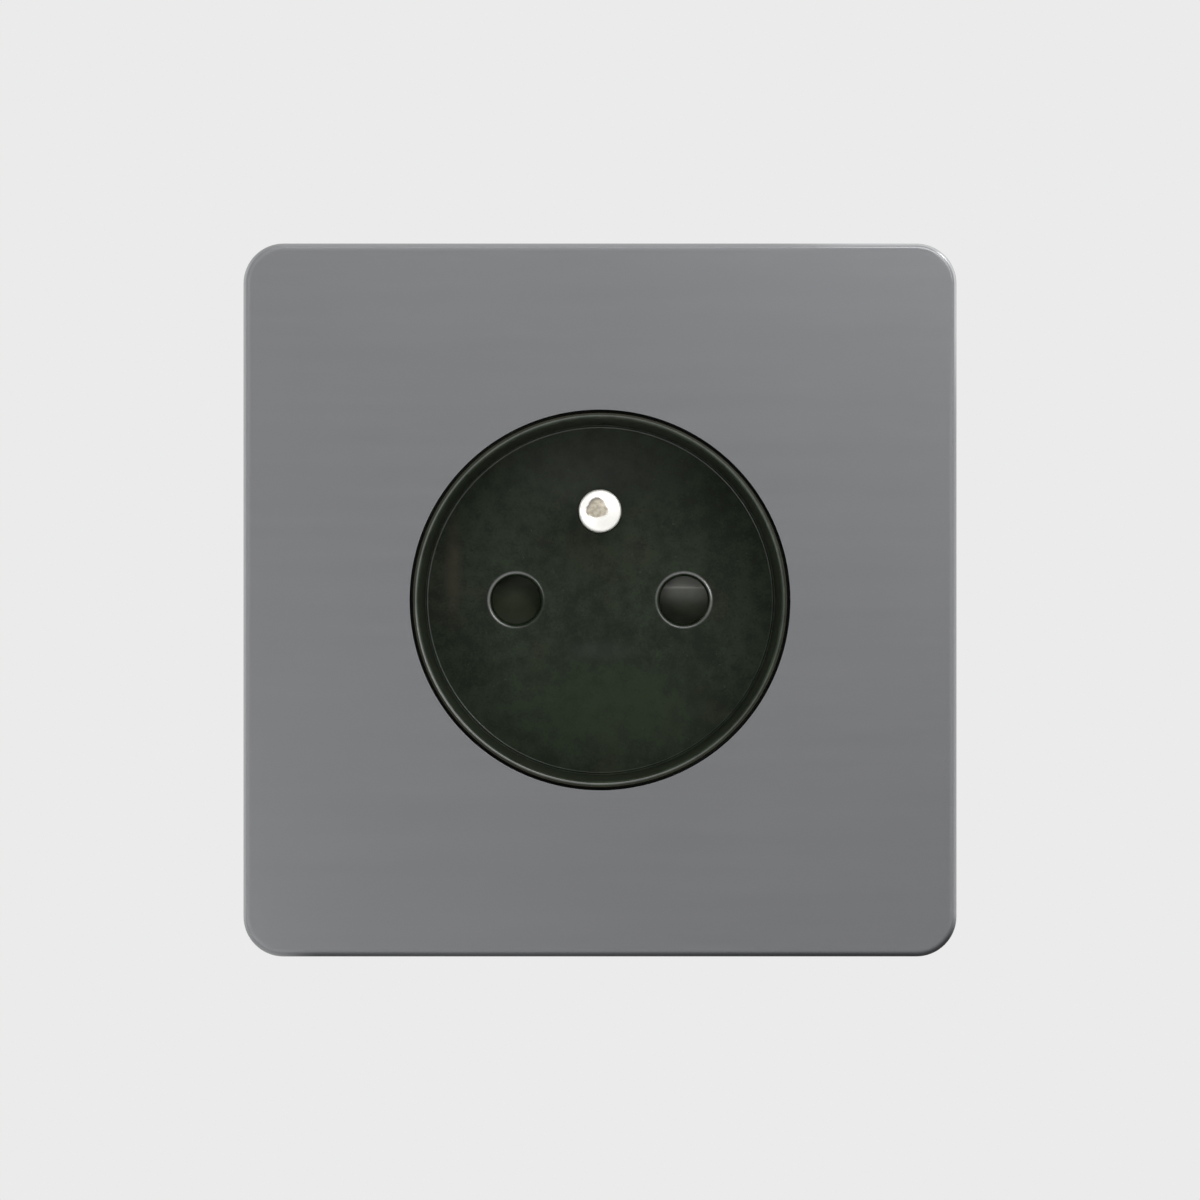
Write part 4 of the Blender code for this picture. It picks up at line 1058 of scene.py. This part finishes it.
def world():
    made = bpy.data.worlds.new("studio")
    bpy.context.scene.world = made
    tree = Tree(made)
    direction = tree.node("ShaderNodeTexCoord", output="Generated")
    height = tree.node("ShaderNodeSeparateXYZ", values={0: direction}, output="Z")
    above = LIGHT_LEVEL + (LIGHT_ABOVE - LIGHT_LEVEL) * height.step(0.0, 0.7)
    strength = above - (LIGHT_LEVEL - LIGHT_BELOW) * height.step(0.0, -0.7)
    light = tree.node("ShaderNodeBackground", values={"Color": (1, 1, 1, 1), "Strength": strength})
    seen = tree.node("ShaderNodeBackground", values={"Color": (BACKDROP, BACKDROP, BACKDROP, 1)})
    camera_ray = tree.node("ShaderNodeLightPath", output="Is Camera Ray")
    glossy_ray = tree.node("ShaderNodeLightPath", output="Is Glossy Ray")
    glass_ray = tree.node("ShaderNodeLightPath", output="Is Transmission Ray")
    mirrored = glossy_ray.maths("MAXIMUM", glossy_ray, glass_ray)
    shows = camera_ray.maths("MAXIMUM", camera_ray, mirrored)
    both = tree.node("ShaderNodeMixShader", values={0: shows, 1: light, 2: seen})
    tree.feed(tree.nodes["World Output"].inputs["Surface"], both)


world()

# %% [markdown]
# The floor is a round table below the socket. It lies too low to come into the main picture, which shows
# an even background from edge to edge.


# %% Floor
FLOOR_REACH = 0.8
FLOOR_HEIGHT = -0.16


def floor():
    outline = circle(FLOOR_REACH, steps=96)
    mesh = bpy.data.meshes.new("floor")
    mesh.from_pydata([(x, y, FLOOR_HEIGHT) for x, y in outline], [], [range(len(outline))])
    made = bpy.data.objects.new("floor", mesh)
    bpy.context.scene.collection.objects.link(made)
    paint = Finish("floor paint", (0.72, 0.72, 0.72), 0.8)
    wear_and_painted_reflection = paint.noise(0.25, 3)
    paint.set(Base_Color=paint.blend(wear_and_painted_reflection, (0.7, 0.7, 0.7), (0.74, 0.74, 0.74)))
    made.data.materials.append(paint.material)


floor()

# %% [markdown]
# A flat metal plate mirrors whatever lies just beside the camera. So three near lamps, each about half a
# metre in front of the socket, brighten its upper right corner, its lower left and its top. The key lamp
# gives the highlight in the upper right corner's rounding, on top of the painted highlight in the plate's
# colour there. Large lamps at the sides and above light the edges and the walls of the well, and one
# behind lights the base.


# %% Lamps
# Place, size and power in watts.
LAMPS = {
    "near_right": ((0.15, -0.42, 0.17), 0.2, 0.4),
    "near_left": ((-0.18, -0.42, -0.085), 0.13, 0.26),
    "near_top": ((0.0, -0.42, 0.23), 0.2, 0.31),
    "key": ((0.5, -0.35, 0.5), 0.12, 0.6),
    "side_left": ((-0.75, -0.05, 0.05), 0.8, 1.5),
    "side_right": ((0.75, -0.05, 0.35), 0.8, 1.2),
    "top": ((0.3, -0.05, 0.75), 0.8, 0.9),
    "behind": ((0.3, 0.9, 0.5), 0.7, 0.4),
}


def lamp(name, place, size, power):
    """A square soft lamp that faces the socket and that the camera doesn't see."""
    light = bpy.data.lights.new(name, "AREA")
    light.size = size
    light.energy = power
    made = bpy.data.objects.new(name, light)
    made.location = place
    made.rotation_euler = (-Vector(place)).to_track_quat("-Z", "Y").to_euler()
    made.visible_camera = False
    bpy.context.scene.collection.objects.link(made)


for name, settings in LAMPS.items():
    lamp(name, *settings)
print("lamps:", ", ".join(LAMPS))

# %% [markdown]
# ## Camera
#
# The picture is square and 134.6 mm wide at the plate. The well's rim and its floor have nearly the same
# scale in it, so the camera was far away, with a long lens: 1.5 m here.


# %% Camera
VIEW_WIDTH = 134.6 * MM
DISTANCE = 1.5
camera = bpy.data.cameras.new("camera")
camera.sensor_width = 36
camera.lens = camera.sensor_width * DISTANCE / VIEW_WIDTH
viewer = bpy.data.objects.new("camera", camera)
viewer.location = (0, -plate_front - DISTANCE, 0)
viewer.rotation_euler = (math.radians(90), 0, 0)
bpy.context.scene.collection.objects.link(viewer)
bpy.context.scene.camera = viewer
bpy.context.scene.view_settings.view_transform = "Standard"
